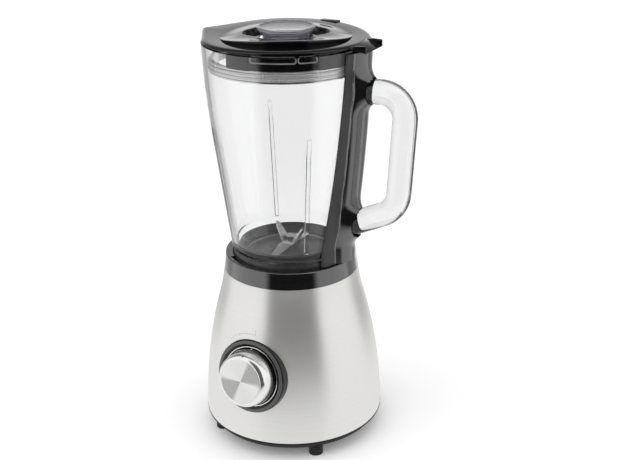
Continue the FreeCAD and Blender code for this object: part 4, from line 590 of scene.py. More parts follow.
def moulding(name, tone, rough, fine, wave=0.3, spread=0.12, shine=0.5, dust=0.5):
    """Moulded plastic or rubber: fine relief, smudges, dust, and polished edges that are lighter, partly
    rubbed wear and partly a painted highlight.
    """
    def feeds(tree):
        texture = use(tree, "Moulded Texture", Fine_Amount=fine, Wave_Amount=wave,
                      Fine_Scale=1900.0, Wave_Scale=55.0)
        marks = use(tree, "Handling Marks", Smudge_Scale=26.0, Dust_Scale=520.0)
        edge = use(tree, "Polished Edges With Painted Highlight", Start=0.53)["Edge"]
        rubbed_and_highlit_tone = [min(1.0, value * 1.7 + 0.006) for value in tone]
        dusty = [min(1.0, value + 0.10) for value in tone]
        # lighter edges: partly rubbed wear, partly a painted highlight
        worn = blend_colour(tree, scaled(tree, edge, 0.5), tone, rubbed_and_highlit_tone)
        level = scaled(tree, marks["Smudge"], spread, rough)
        level = scaled(tree, marks["Scratches"], 0.10, level)
        return {
            "Base Color": blend_colour(tree, scaled(tree, marks["Dust"], dust), worn, dusty),
            "Roughness": scaled(tree, edge, -0.06, level),
            "Normal": bumped(tree, texture["Height"], 0.03, 0.5),
        }

    return finish_of(name, feeds, Specular_IOR_Level=shine)


def coated(material, rough=0.02):
    """Add a clear coat, which mirrors more than bare plastic."""
    inputs = material.node_tree.nodes["Principled BSDF"].inputs
    inputs["Coat Weight"].default_value = 1.0
    inputs["Coat IOR"].default_value = 1.7
    inputs["Coat Roughness"].default_value = rough
    return material


def gloss_black(name, shine):
    """Polished black plastic."""
    return moulding(name, colours().gloss, rough=0.03, fine=0.04, spread=0.03, shine=shine, dust=0.15)


def shiny_silicone():
    """Silicone with a wet shine; the real seal is see-through, this finish is opaque."""
    plain = moulding("Silicone", (0.93, 0.93, 0.92), rough=0.18, fine=0.5, spread=0.10)
    material = coated(plain, 0.06)
    material.node_tree.nodes["Principled BSDF"].inputs["Metallic"].default_value = 0.38
    return material


def pressed_glass():
    """Clear pressed glass, slightly wavy inside and out."""
    def feeds(tree):
        wave = use(tree, "Moulded Texture", Fine_Scale=160.0, Fine_Amount=0.12,
                   Wave_Scale=24.0, Wave_Amount=1.0)
        return {
            "Roughness": dulled(tree, 14.0, 0.012),
            "Normal": bumped(tree, wave["Height"], 0.10, 0.35),
        }

    made = finish_of("Pressed glass", feeds, Base_Color=rgba(colours().glass),
                     Transmission_Weight=1.0, IOR=1.5)
    add_absorption(made, (0.84, 0.84, 0.845), 48.0)
    return made


def clear_plastic():
    """Smoky clear plastic of the measuring cap."""
    tint = colours().cap
    wave = {"Fine_Scale": 300.0, "Fine_Amount": 0.2, "Wave_Scale": 40.0, "Wave_Amount": 0.8}
    return smudged("Clear plastic", tint, darker(tint, 0.9), 0.03, 0.04, 30.0, (0.04, 0.3), wave,
                   Transmission_Weight=0.76, IOR=1.5)


def add_absorption(material, tint, density):
    """Let thick parts of a clear piece grow darker."""
    tree = material.node_tree
    haze = put(tree, "VolumeAbsorption", {"Color": rgba(tint), "Density": density})
    target = next(node for node in tree.nodes if node.type == "OUTPUT_MATERIAL")
    tree.links.new(haze.outputs[0], target.inputs["Volume"])


def circuit_green():
    """Lacquered board with printed tracks."""
    def feeds(tree):
        upright = turned(tree, own_place(tree), (1, 0, 0), math.pi / 2)
        lines = {"Vector": upright, "Scale": 160.0, "Mortar Size": 0.06}
        tracks = put(tree, "TexBrick", lines).outputs["Fac"]
        return {
            "Base Color": blend_colour(tree, tracks, (0.012, 0.09, 0.035), (0.03, 0.20, 0.08)),
            "Normal": bumped(tree, tracks, 0.04, 0.7),
        }

    return finish_of("Circuit board", feeds, Roughness=0.3)


FINISHES = {
    "steel_shell": brushed_steel,
    "black_gloss": lambda: gloss_black("Gloss black moulding", 0.45),
    "black_lacquer": lambda: coated(gloss_black("Lacquered black moulding", 1.0)),
    "black_satin": lambda: moulding("Satin black moulding", colours().satin, 0.36, 1.0, 0.4),
    "jug_glass": pressed_glass,
    "clear_cap": clear_plastic,
    "silicone": shiny_silicone,
    "black_rubber": lambda: moulding("Black rubber", (0.010, 0.010, 0.011), 0.62, 1.4,
                                     spread=0.15, shine=0.25),
    "bright_metal": polished_metal,
    "blade_steel": ground_steel,
    "dish_steel": lambda: plain_metal("Satin steel dish", (0.28, 0.275, 0.27), (0.40, 0.395, 0.39),
                                      0.50, 0.02),
    "cast_aluminium": lambda: plain_metal("Cast aluminium", (0.42, 0.42, 0.43), (0.62, 0.62, 0.62),
                                          0.42, 0.06),
    "iron_laminations": layered_iron,
    "copper": wound_copper,
    "steel_parts": lambda: plain_metal("Steel parts", (0.42, 0.42, 0.42), (0.58, 0.58, 0.57), 0.26),
    "carbon": lambda: moulding("Carbon brush", (0.03, 0.03, 0.032), 0.45, 1.0),
    "board_green": circuit_green,
    "white_plastic": lambda: moulding("White plastic", (0.70, 0.69, 0.66), 0.4, 0.8),
    # slot frames: black plastic painted light grey to stand for its highlight
    "painted_highlight_frame": lambda: moulding("Satin frame with painted highlight", (0.42, 0.42, 0.42), 0.32, 0.6),
    "bezel_grey": lambda: moulding("Satin grey moulding", (0.085, 0.085, 0.086), 0.30, 0.8, 0.4, 0.10),
    "grey_print": lambda: moulding("Grey print", (0.42, 0.42, 0.41), 0.5, 0.5, 0.0),
}


def finish_for(name):
    """A finish by its name, which is a slot of the record or a special one."""
    return FINISHES[name]()


# ---------------------------------------------------------------- stage
FRONT = 29.7
WHITE = (1.0, 1.0, 1.0)


def place_camera():
    """A camera that looks at the blender from the front right, a little above it."""
    back, height = 1.01714, 0.61875
    pitch, yaw, roll = 0.382, 0.021, -0.015
    data = bpy.data.cameras.new("Camera")
    data.sensor_width = 36.0
    data.lens = 63.47
    data.clip_end = 50.0
    camera = placed("Camera", data)
    stand = Matrix.Rotation(math.radians(FRONT), 4, "Z") @ Matrix.Translation((0, -back, height))
    aim = Matrix.Rotation(-yaw, 4, "Z") @ Matrix.Rotation(math.pi / 2 - pitch, 4, "X")
    camera.matrix_world = stand @ aim @ Matrix.Rotation(roll, 4, "Z")
    bpy.context.scene.camera = camera


def sector(tree, vector, towards, inner, outer):
    """1 within inner degrees of the side towards (from -Y to +X, seen from above), 0 past outer."""
    level = stretched(tree, vector, (1, 1, 0))
    flat = put(tree, "VectorMath", {0: level}, operation="NORMALIZE").outputs[0]
    axis = spot_at(1.0, math.radians(towards), 0)
    facing = put(tree, "VectorMath", {0: flat, 1: axis}, operation="DOT_PRODUCT").outputs["Value"]
    edges = (math.cos(math.radians(outer)), math.cos(math.radians(inner)))
    return rescale(tree, facing, *edges, smooth=True)


def shown(tree, lit, mirrored, seen):
    """One of three shaders by the kind of ray.

    seen shows straight and through clear pieces, mirrored shows in polish, and lit gives light."""
    rays = put(tree, "LightPath").outputs
    mirrored_before = calc(tree, "GREATER_THAN", rays["Glossy Depth"], 0.5)
    unmirrored = calc(tree, "SUBTRACT", 1.0, mirrored_before)
    through = scaled(tree, rays["Is Transmission Ray"], unmirrored)
    straight = calc(tree, "MAXIMUM", rays["Is Camera Ray"], through)
    behind_glass = scaled(tree, rays["Is Transmission Ray"], mirrored_before)
    glossy = calc(tree, "MAXIMUM", rays["Is Glossy Ray"], behind_glass)
    return shader(tree, "MixShader", straight, shader(tree, "MixShader", glossy, lit, mirrored), seen)


def fresh_tree(owner):
    """The empty node tree of a world or a material."""
    owner.use_nodes = True
    owner.node_tree.nodes.clear()
    return owner.node_tree


def grey(tree, level):
    """A grey of a level from 0 to 1."""
    return put(tree, "CombineColor", {0: level, 1: level, 2: level}).outputs[0]


def dim_flags(tree, vector):
    """How much two flags, at the right and left of the back, darken a mirrored direction."""
    shade = 0.0
    for side, inner, outer, depth in ((FRONT + 124, 9, 24, 0.55), (FRONT - 138, 9, 30, 0.48)):
        shade = scaled(tree, sector(tree, vector, side, inner, outer), depth, shade)
    return shade


def light_world():
    """Plain white surroundings; polish mirrors a dark front, a dim top of the back and bright sides."""
    world = bpy.data.worlds.new("Studio")
    bpy.context.scene.world = world
    tree = fresh_tree(world)
    way = put(tree, "TexCoord").outputs["Generated"]
    height = put(tree, "SeparateXYZ", {0: way}).outputs["Z"]
    below_top = rescale(tree, height, 0.93, 0.84, smooth=True)
    front = scaled(tree, sector(tree, way, FRONT, 34, 44), below_top)
    raised = rescale(tree, height, 0.02, 0.52, smooth=True)
    dim_top = scaled(tree, sector(tree, way, FRONT + 180, 50, 85), raised)
    level = scaled(tree, front, -0.99, 1.03)
    level = calc(tree, "SUBTRACT", level, dim_flags(tree, way))
    level = scaled(tree, level, scaled(tree, dim_top, -0.66, 1.0))
    mirrored = shader(tree, "Background", grey(tree, level))
    soft, plain = (shader(tree, "Background", rgba(WHITE), strength) for strength in (0.60, 1.0))
    put(tree, "OutputWorld", {"Surface": shown(tree, soft, mirrored, plain)})


def wide_lamp(name, azimuth, elevation, strength, spread):
    """A far, wide, soft light from an azimuth (from -Y to +X) and an elevation."""
    data = bpy.data.lights.new(name, "SUN")
    data.angle = math.radians(spread)
    data.energy = strength
    lamp = placed(name, data)
    lift = math.radians(elevation)
    way = Vector(spot_at(math.cos(lift), math.radians(azimuth), math.sin(lift)))
    lamp.rotation_euler = way.to_track_quat("Z", "Y").to_euler()
    lamp.visible_glossy = False
    lamp.visible_transmission = False


def floor_finish():
    """Pale matt floor: white where it is seen, and as the surroundings where polish mirrors it."""
    material = bpy.data.materials.new("Pale floor")
    tree = fresh_tree(material)
    place = put(tree, "NewGeometry").outputs["Position"]
    tone = colours().floor
    matt = shader(tree, "BsdfDiffuse", blend_colour(tree, noise(tree, place, 9.0), darker(tone, 0.99), tone))
    pale = shader(tree, "BsdfDiffuse", rgba(WHITE))
    seen = shader(tree, "AddShader", pale, shader(tree, "Emission", rgba(WHITE), 0.11))
    distant = rescale(tree, from_axis(tree, place), 0.24, 0.62, smooth=True)
    dark = scaled(tree, sector(tree, place, FRONT, 32, 46), distant)
    flags = scaled(tree, dim_flags(tree, place), distant)
    level = calc(tree, "SUBTRACT", scaled(tree, dark, -0.92, 0.95), flags)
    mirrored = shader(tree, "Emission", grey(tree, calc(tree, "MAXIMUM", level, 0.03)), 1.0)
    put(tree, "OutputMaterial", {"Surface": shown(tree, matt, mirrored, seen)})
    return material


def build_stage():
    """Floor, lights, surroundings, camera and view settings."""
    half = 9000.0
    corners = [(-half, -half, 0), (half, -half, 0), (half, half, 0), (-half, half, 0)]
    new_piece("Floor", corners, [[0, 1, 2, 3]], floor_finish())
    light_world()
    wide_lamp("Upper light", FRONT - 20, 74, 0.85, 70)
    wide_lamp("Left light", FRONT - 75, 42, 0.45, 60)
    wide_lamp("Right light", FRONT + 75, 42, 0.35, 60)
    place_camera()
    bpy.context.scene.view_settings.view_transform = "Standard"


# ---------------------------------------------------------------- CAD nodes that stay
def dress_nodes():
    """Give every CAD node the finish of its slot, or its own."""
    finishes = {part["node"]: part["material_slot"] for part in frame["record"]["subparts"]}
    finishes |= {"blade_holder": "dish_steel", "base_plate": "black_rubber", "jug_seat_ring": "black_lacquer"}
    for name, node in frame["nodes"].items():
        node.data.materials.clear()
        node.data.materials.append(finish_for(finishes[name]))


# ---------------------------------------------------------------- sizes shared by several pieces (mm)
LID_TOP = 405.3
DOME_TOP = 409.3
DOME_EDGE = 62.6
UNDERSIDE = 401.0
WALL_RISE = 5.6
CREST_SIDE = 29.7
POUR_OPENING = (-163.4, -16.6)
OPENING_EDGE = 71.0
SCOOP_SIDES = (-60.3, 119.7)
SLOTS = ((3.8, 36.0), (37.6, 50.8))
FLANGE = 78.9
FLANGE_FOOT = 402.3
SKIRT = 73.3
SKIRT_INSIDE = 69.5
BEAK_TIP = 89.7
BEAK_ROUND = 3.0
BEAK_ROOT = 5.5
BEAK_HALF_ANGLE = 32.2
SPOUT_SIDE = -90.0
GLASS_FOOT, GLASS_RIM = 204.0, 402.0
GLASS_RADII = (58.8, 79.7)
GLASS_BULGE = 2.6
SPINE_FOOT, SPINE_TOP = 192.3, 399.5
SPINE_HALVES = (26.2, 31.5)
SPINE_RISES = (7.1, 9.8)
SPINE_FLANGE = 2.2
SPINE_CROWN = 18.5
HANDLE_ROOTS = ((362.4, 0.0), (231.0, 25.2))
ROOT_HOLE = 12.1
FLARE_START, FLARE_WIDTH = 12.0, 14.0


def glass_radius(height):
    """The outer radius of the jug at a height."""
    share = (height - GLASS_FOOT) / (GLASS_RIM - GLASS_FOOT)
    return between(*GLASS_RADII, share) + GLASS_BULGE * math.sin(math.pi * min(max(share, 0), 1))


def smooth_step(value, low, high):
    """0 below low, 1 above high, with soft ends."""
    share = min(max((value - low) / (high - low), 0.0), 1.0)
    return share * share * (3 - 2 * share)


def turn_from(angle, degrees):
    """The signed angle in degrees between two directions about Z."""
    return (math.degrees(angle) - degrees + 180) % 360 - 180


def angle_rows(dense, fine, coarse):
    """Angles of a full turn, closer together inside the (from, to) ranges of dense."""
    degrees = -180.0
    found = []
    while degrees < 180 - 1e-6:
        found.append(math.radians(degrees))
        near = any(low - coarse <= degrees < high for low, high in dense)
        degrees += fine if near else coarse
    return found


# ---------------------------------------------------------------- lid
def beak_radius(angle):
    """Edge of the flange: round, with a pointed beak over the spout."""
    away = abs(turn_from(angle, SPOUT_SIDE))
    if away < 1.0:
        across = BEAK_TIP * math.sin(math.radians(away))
        return BEAK_TIP * math.cos(math.radians(away)) + math.sqrt(BEAK_ROUND ** 2 - across ** 2)
    if away > BEAK_HALF_ANGLE:
        return FLANGE
    return FLANGE / math.cos(math.radians(BEAK_HALF_ANGLE - away))


def dome_drop(radius, angle):
    """How far the lid's top lies below its dome, in the cap's recess and the finger scoops."""
    recess_depth, scoop_depth, scoop_out = 4.2, 3.9, 20.5
    deep = recess_depth * smooth_step(radius, 35.4, 33.6)
    for side in SCOOP_SIDES:
        scoop = spot_at(scoop_out, math.radians(side), 0)
        away = math.dist(spot_at(radius, angle, 0), scoop)
        deep = max(deep, scoop_depth * smooth_step(away, 20.4, 18.8))
    return deep


def slot_frame(low, high):
    """A raised rounded frame around a slot in the lid's skirt, between two angles in degrees. Its light grey
    is a painted highlight on black plastic.
    """
    reach, middle, half_height, corner = SKIRT - 1.4, 398.6, 2.6, 1.9
    half = math.radians(high - low) / 2 * SKIRT
    centre = math.radians(low + high) / 2
    corners = []
    for quarter, (side, up) in enumerate(((1, 1), (-1, 1), (-1, -1), (1, -1))):
        for step in range(9):
            turn = math.radians(90 * quarter + 90 * step / 8)
            corners.append(((half - corner) * side, (half_height - corner) * up,
                            math.cos(turn), math.sin(turn)))
    outline = []
    for number, (x, y, out_x, out_y) in enumerate(corners):
        after = corners[(number + 1) % len(corners)]
        parts = 24 if math.dist(after[:2], (x, y)) > 1.0 else 1
        outline += [(between(x, after[0], step / parts), between(y, after[1], step / parts), out_x, out_y)
                    for step in range(parts)]
    section = ((-0.62, 0.0), (-0.55, 0.9), (-0.3, 1.25), (0.3, 1.25), (0.55, 0.9), (0.62, 0.0))
    points = []
    for x, y, out_x, out_y in outline:
        for offset, proud in section:
            angle = centre + (x + (corner + offset) * out_x) / SKIRT
            points.append(spot_at(reach + proud, angle, middle + y + (corner + offset) * out_y))
    faces = ring_faces(len(outline), len(section), closed=True)
    # painted highlight: light grey in place of the shine on black plastic
    return new_piece("slot_frame", points, faces, finish_for("painted_highlight_frame"))


def skirt_relief(angle, height):
    """Radius of the lid's skirt: plain panels, and a recess behind the slot frames."""
    degrees = turn_from(angle, 0)
    recess = 1.5 * smooth_step(degrees, 2.2, 3.0) * smooth_step(degrees, 52.6, 51.8)
    return SKIRT - recess * smooth_step(height, 402.3, 401.7)


def front_share(angle):
    """1 towards the front right, 0 at right angles to it, negative behind."""
    return math.cos(angle - math.radians(CREST_SIDE))


def sweep_at(angle):
    """How far the lid's top is swept up at an angle, at the front right and the back left."""
    return size("sweep") * front_share(angle) ** 2


def in_opening(angle):
    """Whether the lid's skirt is open there, to pour."""
    return POUR_OPENING[0] < turn_from(angle, 0) < POUR_OPENING[1]


def lid_profile():
    """The lid's section: down its inside, up its skirt, over the flange and the dome, and back."""
    skirt = [(SKIRT, height) for height in (388.7, 389.3)]
    skirt += [(SKIRT, 390 + 0.45 * number) for number in range(28)]
    flange = [(FLANGE - 1.2, FLANGE_FOOT), (FLANGE - 0.4, 402.5), (FLANGE, 402.9), (FLANGE, 403.3),
              (FLANGE - 0.5, 404.0), (FLANGE - 1.6, 404.7), (FLANGE - 3.2, 405.15), (FLANGE - 5.2, LID_TOP)]
    wall = [(DOME_EDGE, LID_TOP), (61.6, 405.31), (60.7, 405.5), (60.9, 406.5), (61.3, 408.0),
            (61.5, 409.4), (61.5, 410.0), (61.2, 410.5), (60.6, 410.8), (59.9, 410.9)]
    top = [(59.4 - 0.58 * number, DOME_TOP) for number in range(60)]
    under = [(24.6, 404.2), (58.0, 404.2), (59.0, UNDERSIDE), (SKIRT_INSIDE, UNDERSIDE)]
    return [(SKIRT_INSIDE, 388.7)] + skirt + [(SKIRT, FLANGE_FOOT)] + flange + wall + top + under


def lid_shape(radius, height, angle):
    """Where a point of the lid's section goes at an angle."""
    share = max(front_share(angle), 0.0) ** 1.15
    crest = size("crest") * share
    if radius >= SKIRT and height >= FLANGE_FOOT:
        rise = sweep_at(angle) * (1.0 if height > 404 else share)
        beak = beak_radius(angle) - FLANGE if radius > FLANGE - BEAK_ROOT else 0.0
        return radius + beak, height + rise
    if height < UNDERSIDE or radius == SKIRT:
        if in_opening(angle):
            return min(radius, OPENING_EDGE), UNDERSIDE
        return skirt_relief(angle, height) if radius == SKIRT else radius, height
    if height == DOME_TOP:
        edge = LID_TOP + sweep_at(angle) + crest
        lift = (edge - DOME_TOP) * smooth_step(radius, 36, 60)
        return radius, DOME_TOP + lift - dome_drop(radius, angle)
    if radius > 59.5 and height >= LID_TOP:
        return radius, LID_TOP + sweep_at(angle) + (height - LID_TOP) * crest / WALL_RISE
    return radius, height


def lid_tongue(finish):
    """Tongue over the spine: a ramp between two raised wings that close in towards the end."""
    ramp = [(72.0, 402.3), (78.9, 402.3), (90.5, 399.9), (90.5, 401.3), (84.5, 403.2), (78.0, 405.3),
            (72.0, 405.3)]
    wing = [(73.5, 402.6), (79.0, 402.4), (90.5, 400.0), (90.5, 405.9), (89.6, 406.7), (80.0, 406.6),
            (73.5, 405.2)]
    pieces = []
    root, tip, closing = 72.0, 90.5, 3.0
    for near, far, side_view in ((-20.8, 20.8, ramp), (-21.0, -18.4, wing), (21.0, 18.4, wing)):
        sides = [[(x, side - math.copysign(closing, side) * (x - root) / (tip - root), z)
                  for x, z in side_view] for side in (near, far)]
        pieces.append(block("tongue", *sides, finish, 0.55))
    return pieces


def build_lid():
    """Lid with its beak, dome, scoops, skirt slots, tongue and lifting tab."""
    finish = finish_for("black_gloss")
    angles = angle_rows([(-18, 50), (-96, -84)], 0.5, 1.5)
    shell = lathe("lid_shell", lid_profile(), finish, angles, lid_shape, 34)
    turn = Matrix.Rotation(math.radians(-6), 4, "Z")
    corners = ((-9.3, 70.8, 0), (9.3, 70.8, 0), (9.6, 78.4, 0), (-9.6, 78.4, 0))
    plan = [turn @ Vector(corner) for corner in corners]
    tab = block("tab", *([(x, y, z) for x, y, _ in plan] for z in (405.0, 407.7)), finish, 0.6)
    lip = lathe("lid_lip", [(69.6, 377.5), (72.4, 377.5), (73.1, 378.0), (73.1, 378.8), (72.6, 379.2),
                            (71.6, 379.3), (71.6, 389.0), (69.6, 389.0)], finish_for("bright_metal"))
    frames = [slot_frame(low, high) for low, high in SLOTS]
    piece = join([shell, tab, lip] + frames + lid_tongue(finish), "lid_detail")
    settle(piece, "lid", "black_gloss", "lid")


def build_seal():
    """Silicone seal with two soft ridges."""
    ridge = ((73.2, -1.1), (73.9, -0.75), (74.5, -0.3), (74.65, 0), (74.5, 0.3), (73.9, 0.75), (73.2, 1.1))
    outline = [(71.75, 379.5), (73.0, 379.5)]
    for middle in (382.1, 386.0):
        outline += [(radius, middle + rise) for radius, rise in ridge]
    outline += [(73.0, 388.35), (71.75, 388.35)]
    settle(lathe("seal_detail", outline, finish_for("silicone")), "lid", "silicone", "lid_seal")


def build_cap():
    """Measuring cap: a dished disc with a thick rim, a neck and a cup open at the bottom."""
    cup_outside = [(20.0, 381.6), (21.0, 381.5), (21.9, 381.6), (22.0, 382.2), (22.0, 409.4)]
    neck = [(22.6, 409.6), (25.0, 409.8), (25.3, 410.2), (25.3, 412.2)]
    rim = [(25.6, 412.5), (26.6, 412.5), (27.2, 412.8), (27.45, 413.5), (27.4, 414.3), (27.0, 414.8),
           (26.4, 415.0), (25.4, 414.95), (24.7, 414.5), (24.2, 413.9), (23.4, 413.7)]
    disc = [(0, 413.7), (0, 412.0)]
    cup_inside = [(19.0, 412.0), (19.8, 411.6), (20.0, 411.0)]
    piece = lathe("cap_detail", cup_outside + neck + rim + disc + cup_inside, finish_for("clear_cap"))
    settle(piece, "cap", "clear_cap", "measuring_cap")


# ---------------------------------------------------------------- spine
def spine_share(height):
    """0 at the spine's top, 1 at its foot."""
    return (SPINE_TOP - height) / (SPINE_TOP - SPINE_FOOT)


def spine_inside(height):
    """Radius of the spine's inner face, which follows the jug."""
    return max(glass_radius(height), 59.5) + 0.4


def flare_at(y, height):
    """How far the spine rises around the handle's roots, and whether a point is in a root's hole."""
    nearest = min(math.hypot(y, (height - level) * math.cos(math.radians(tilt)))
                  for level, tilt in HANDLE_ROOTS)
    share = min(max(nearest - FLARE_START, 0.0) / FLARE_WIDTH, 1.0)
    return size("flare") * (1 - share) ** 2.4, nearest < ROOT_HOLE


def spine_reach(y, height):
    """Distance of the spine's outer face from the axis, along X."""
    base = spine_inside(height)
    flange = math.sqrt((base + SPINE_FLANGE) ** 2 - y * y)
    extra, hole = flare_at(y, height)
    if hole:
        return flange
    if abs(y) >= SPINE_CROWN:
        return flange + extra
    rise = between(*SPINE_RISES, spine_share(height))
    crown_round, full_sag, sunk, steepness = 24.0, 8.7, 1.2, 3.2
    sag = (crown_round - math.sqrt(crown_round ** 2 - y * y)) / full_sag
    crown = base + rise - sag * (rise + sunk)
    return max(flange, min(crown, flange + (SPINE_CROWN - abs(y)) * steepness)) + extra


def build_spine():
    """Glossy black spine that holds the handle's roots, with matt flanges and flares."""
    rows, columns, satin_from = 139, 145, 19.2
    shares = [2 * column / (columns - 1) - 1 for column in range(columns)]
    points = []
    for row in range(rows):
        height = between(SPINE_FOOT, SPINE_TOP, row / (rows - 1))
        half = between(*SPINE_HALVES, spine_share(height))
        across = [half * math.copysign(abs(share) ** 0.92, share) for share in shares]
        points += [(spine_reach(y, height), y, height) for y in across]
        points += [(math.sqrt(spine_inside(height) ** 2 - y * y), y, height) for y in reversed(across)]
    faces = ring_faces(rows, 2 * columns)
    satin = [abs(points[face[0]][1] + points[face[1]][1]) / 2 > satin_from for face in faces]
    finishes = [finish_for("black_lacquer"), finish_for("black_satin")]
    spine = new_piece("spine_detail", points, faces, finishes, 30, lambda index: int(satin[index]))
    settle(spine, "jug", "black_gloss", "spine_cover_front", "spine_cover_rear", "spine_screws")


# ---------------------------------------------------------------- knob
def build_bezel():
    """Black bezel around the knob with a thin bright ring inside it."""
    outline = [(30.45, 3.0), (30.45, 5.6), (30.8, 6.3), (31.8, 6.55), (32.4, 7.0), (33.0, 7.3), (34.6, 6.7),
               (35.8, 6.0), (36.5, 5.3), (36.95, 4.5), (37.1, 3.6), (37.1, -10.0), (34.6, -10.0),
               (34.6, 0.6), (12.0, 0.6), (12.0, 3.0)]
    finishes = [finish_for("black_gloss"), finish_for("bezel_grey")]
    grey_rows = (4, 5, 6)
    bezel = lathe("bezel_detail", outline, finishes, materials_by_row=lambda row: int(row in grey_rows))
    ring = lathe("trim_detail", [(28.95, 3.05), (30.35, 3.05), (30.35, 5.7), (30.1, 6.1), (29.7, 6.25),
                                 (29.2, 6.1), (28.95, 5.7)], finish_for("bright_metal"))
    bezel.matrix_world = ring.matrix_world = KNOB_FRAME
    settle(bezel, "base", "black_gloss", "knob_bezel")
    settle(ring, "base", "bright_metal", "bezel_trim_ring")


def build_knob():
    """Knob: black skirt with a white dot, polished side, and a spun face behind a fine groove."""
    skirt = lathe("knob_skirt_detail", [(6.0, 3.4), (27.8, 3.4), (28.3, 3.7), (28.4, 4.4), (28.1, 7.0),
                                        (27.9, 9.2), (27.4, 9.6), (20.0, 9.6), (6.0, 9.6)],
                  finish_for("black_gloss"))
    face = size("knob_face")
    side = [(20.0, 9.7), (27.6, 9.7), (27.9, 10.0), (27.7, 12.0), (27.4, 14.5), (27.05, 17.0),
            (26.7, 19.0), (26.2, 20.8), (25.5, 22.1), (24.7, 23.05), (23.8, 23.7), (22.9, 24.1),
            (22.3, 24.27), (21.9, 24.25), (21.75, 24.0), (21.6, 24.0), (21.45, 24.25), (21.2, face)]
    outline = side + [(21.2 - 1.06 * number, face) for number in range(1, 20)]
    outline += [(0, face), (0, 22.0), (20.0, 22.0)]
    top = lathe("knob_cap_detail", outline, [finish_for("bright_metal"), spun_metal()],
                materials_by_row=lambda row: int(row >= len(side) - 2))
    around = [math.tau * step / 24 for step in range(24)]
    dot = lathe("knob_dot", [(0, 0), (0.85, 0), (0.9, 0.12), (0.8, 0.25), (0, 0.3)],
                finish_for("white_plastic"), around)
    pit = lathe("knob_pit", [(0, 0), (0.75, 0), (0.75, 0.08), (0, 0.08)], finish_for("black_rubber"), around)
    for piece, place, lean in ((dot, (0, 28.05, 6.7), 8), (pit, (0, 25.12, 22.62), 40)):
        turn = Matrix.Rotation(math.radians(lean - 90), 4, "X")
        piece.data.transform(Matrix.Translation(Vector(place) * MM) @ turn)
    skirt = join([skirt, dot], "knob_skirt_detail")
    top = join([top, pit], "knob_cap_detail")
    skirt.matrix_world = top.matrix_world = KNOB_FRAME
    settle(skirt, "knob", "black_gloss", "knob_body")
    settle(top, "knob", "bright_metal", "knob_cap")


def build_spring():
    """Coil spring under the interlock pin, built as a fixed coil at rest."""
    low, high = (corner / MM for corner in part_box("pin_spring"))
    middle, wire = (low + high) / 2, size("spring_wire")
    reach = (high.x - low.x) / 2 - wire
    turns, steps, sides = 5, 40, 10
    climb = (high.z - low.z - 2 * wire) / (turns * steps)
    points = []
    for step in range(turns * steps + 1):
        turn = math.tau * step / steps
        for side in range(sides):
            spot = math.tau * side / sides
            out = reach + wire * math.cos(spot)
            points.append((middle.x + out * math.cos(turn), middle.y + out * math.sin(turn),
                           low.z + wire + climb * step + wire * math.sin(spot)))
    faces = ring_faces(turns * steps + 1, sides)
    piece = new_piece("pin_spring_detail", points, faces, finish_for("steel_parts"))
    settle(piece, "base", "steel_parts", "pin_spring")
    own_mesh(piece)


def build_foot_rim():
    """Dark rim that shows as a thin line all round the foot of the steel shell."""
    outline = [(88.0, 17.9), (90.2, 17.9), (90.65, 18.2), (90.8, 18.7), (90.8, 19.6), (90.6, 19.95),
               (88.0, 19.95)]
    settle(lathe("foot_rim", outline, finish_for("black_rubber")), "base", "black_satin")


def printed_strip(line, width):
    """A thin printed line on the shell, from points in the knob's own frame."""
    shell = frame["nodes"]["base_shell"]
    start_height, above, below = 60.0, 0.03, -0.05
    points = []
    inward = -(KNOB_FRAME.to_3x3() @ Vector((0, 0, 1))).normalized()
    for number, (x, y) in enumerate(line):
        after = Vector(line[min(number + 1, len(line) - 1)])
        before = Vector(line[max(number - 1, 0)])
        along = (after - before).normalized()
        across = Vector((-along.y, along.x)) * width / 2
        for side, lifts in ((1, (above, below)), (-1, (below, above))):
            spot = KNOB_FRAME @ (Vector((x + across.x * side, y + across.y * side, start_height)) * MM)
            hit, place, normal, _ = shell.ray_cast(spot, inward)
            if not hit:
                raise RuntimeError("a printed mark misses the shell")
            points += [tuple((place + normal * lift * MM) / MM) for lift in lifts]
    return new_piece("mark", points, ring_faces(len(line), 4), finish_for("grey_print"))


def build_marks():
    """Printed speed marks above the knob: a thin arc, a stop line and short ticks."""
    def polar(reach, degrees):
        turn = math.radians(degrees)
        return reach * math.sin(turn), reach * math.cos(turn)

    width = size("mark_width")
    arc, low, high, steps = 42.5, -25, 2, 14
    line = [polar(arc, between(low, high, step / steps)) for step in range(steps + 1)]
    strips = [printed_strip(line, width * 0.8)]
    for degrees, inner, outer in ((3, 41.5, 47.5), (-30, 40.6, 43.2), (-35, 40.6, 42.4), (-40, 40.4, 43.0)):
        line = [polar(reach, degrees) for reach in (inner, (inner + outer) / 2, outer)]
        strips.append(printed_strip(line, width))
    settle(join(strips, "speed_marks"), "base", "steel_parts")


# ---------------------------------------------------------------- operators
class BuilderOperator:
    """What the operators share: each runs its own builders."""

    bl_options = {"REGISTER", "UNDO"}
    builders = ()

    def execute(self, context):
        for build in self.builders:
            build()
        return {"FINISHED"}


class COUNTERTOP_OT_stage(BuilderOperator, bpy.types.Operator):
    """Build the floor, the lights, the surroundings and the camera"""

    bl_idname = "countertop.stage"
    bl_label = "Stage"
    builders = (build_stage,)


class COUNTERTOP_OT_finishes(BuilderOperator, bpy.types.Operator):
    """Give every CAD node the finish of its slot"""

    bl_idname = "countertop.finishes"
    bl_label = "Frame finishes"
    builders = (dress_nodes,)


class COUNTERTOP_OT_lid(BuilderOperator, bpy.types.Operator):
    """Build the lid and its silicone seal"""

    bl_idname = "countertop.lid"
    bl_label = "Lid and seal"
    builders = (build_lid, build_seal)


class COUNTERTOP_OT_cap(BuilderOperator, bpy.types.Operator):
    """Build the measuring cap"""

    bl_idname = "countertop.cap"
    bl_label = "Measuring cap"
    builders = (build_cap,)


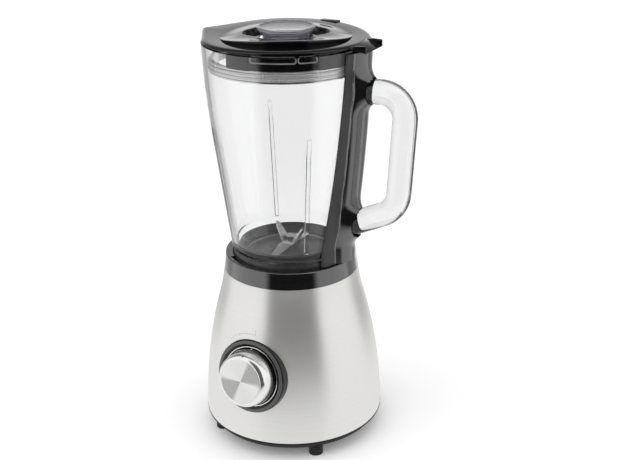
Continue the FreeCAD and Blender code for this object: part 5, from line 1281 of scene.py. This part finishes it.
class COUNTERTOP_OT_spine(BuilderOperator, bpy.types.Operator):
    """Build the spine that holds the handle's roots"""

    bl_idname = "countertop.spine"
    bl_label = "Spine"
    builders = (build_spine,)


class COUNTERTOP_OT_foot_rim(BuilderOperator, bpy.types.Operator):
    """Build the dark rim around the foot of the shell"""

    bl_idname = "countertop.foot_rim"
    bl_label = "Foot rim"
    builders = (build_foot_rim,)


class COUNTERTOP_OT_spring(BuilderOperator, bpy.types.Operator):
    """Build the spring under the interlock pin"""

    bl_idname = "countertop.spring"
    bl_label = "Pin spring"
    builders = (build_spring,)


class COUNTERTOP_OT_knob(BuilderOperator, bpy.types.Operator):
    """Build the bezel, the speed knob and its printed marks"""

    bl_idname = "countertop.knob"
    bl_label = "Knob and marks"
    builders = (build_bezel, build_knob, build_marks)


OPERATORS = (COUNTERTOP_OT_stage, COUNTERTOP_OT_finishes, COUNTERTOP_OT_lid, COUNTERTOP_OT_cap,
             COUNTERTOP_OT_spine, COUNTERTOP_OT_foot_rim, COUNTERTOP_OT_spring, COUNTERTOP_OT_knob)


class VIEW3D_PT_countertop_blender(bpy.types.Panel):
    """Lists the pieces that can be built."""

    bl_label = "Countertop Blender"
    bl_space_type = "VIEW_3D"
    bl_region_type = "UI"
    bl_category = "Blender"

    def draw(self, context):
        for group in (context.scene.blender_sizes, context.scene.blender_colours):
            box = self.layout.box()
            for name in group.bl_rna.properties.keys():
                if name not in ("rna_type", "name"):
                    box.prop(group, name)
        for one in OPERATORS:
            self.layout.operator(one.bl_idname)


CLASSES = (BlenderSizes, BlenderColours, *OPERATORS, VIEW3D_PT_countertop_blender)


def register():
    for one in CLASSES:
        bpy.utils.register_class(one)
    bpy.types.Scene.blender_sizes = PointerProperty(type=BlenderSizes)
    bpy.types.Scene.blender_colours = PointerProperty(type=BlenderColours)


def unregister():
    del bpy.types.Scene.blender_sizes
    del bpy.types.Scene.blender_colours
    for one in reversed(CLASSES):
        bpy.utils.unregister_class(one)


def main():
    """Register the add-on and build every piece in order."""
    register()
    for one in OPERATORS:
        group, name = one.bl_idname.split(".")
        getattr(getattr(bpy.ops, group), name)()


if __name__ == "__main__":
    main()
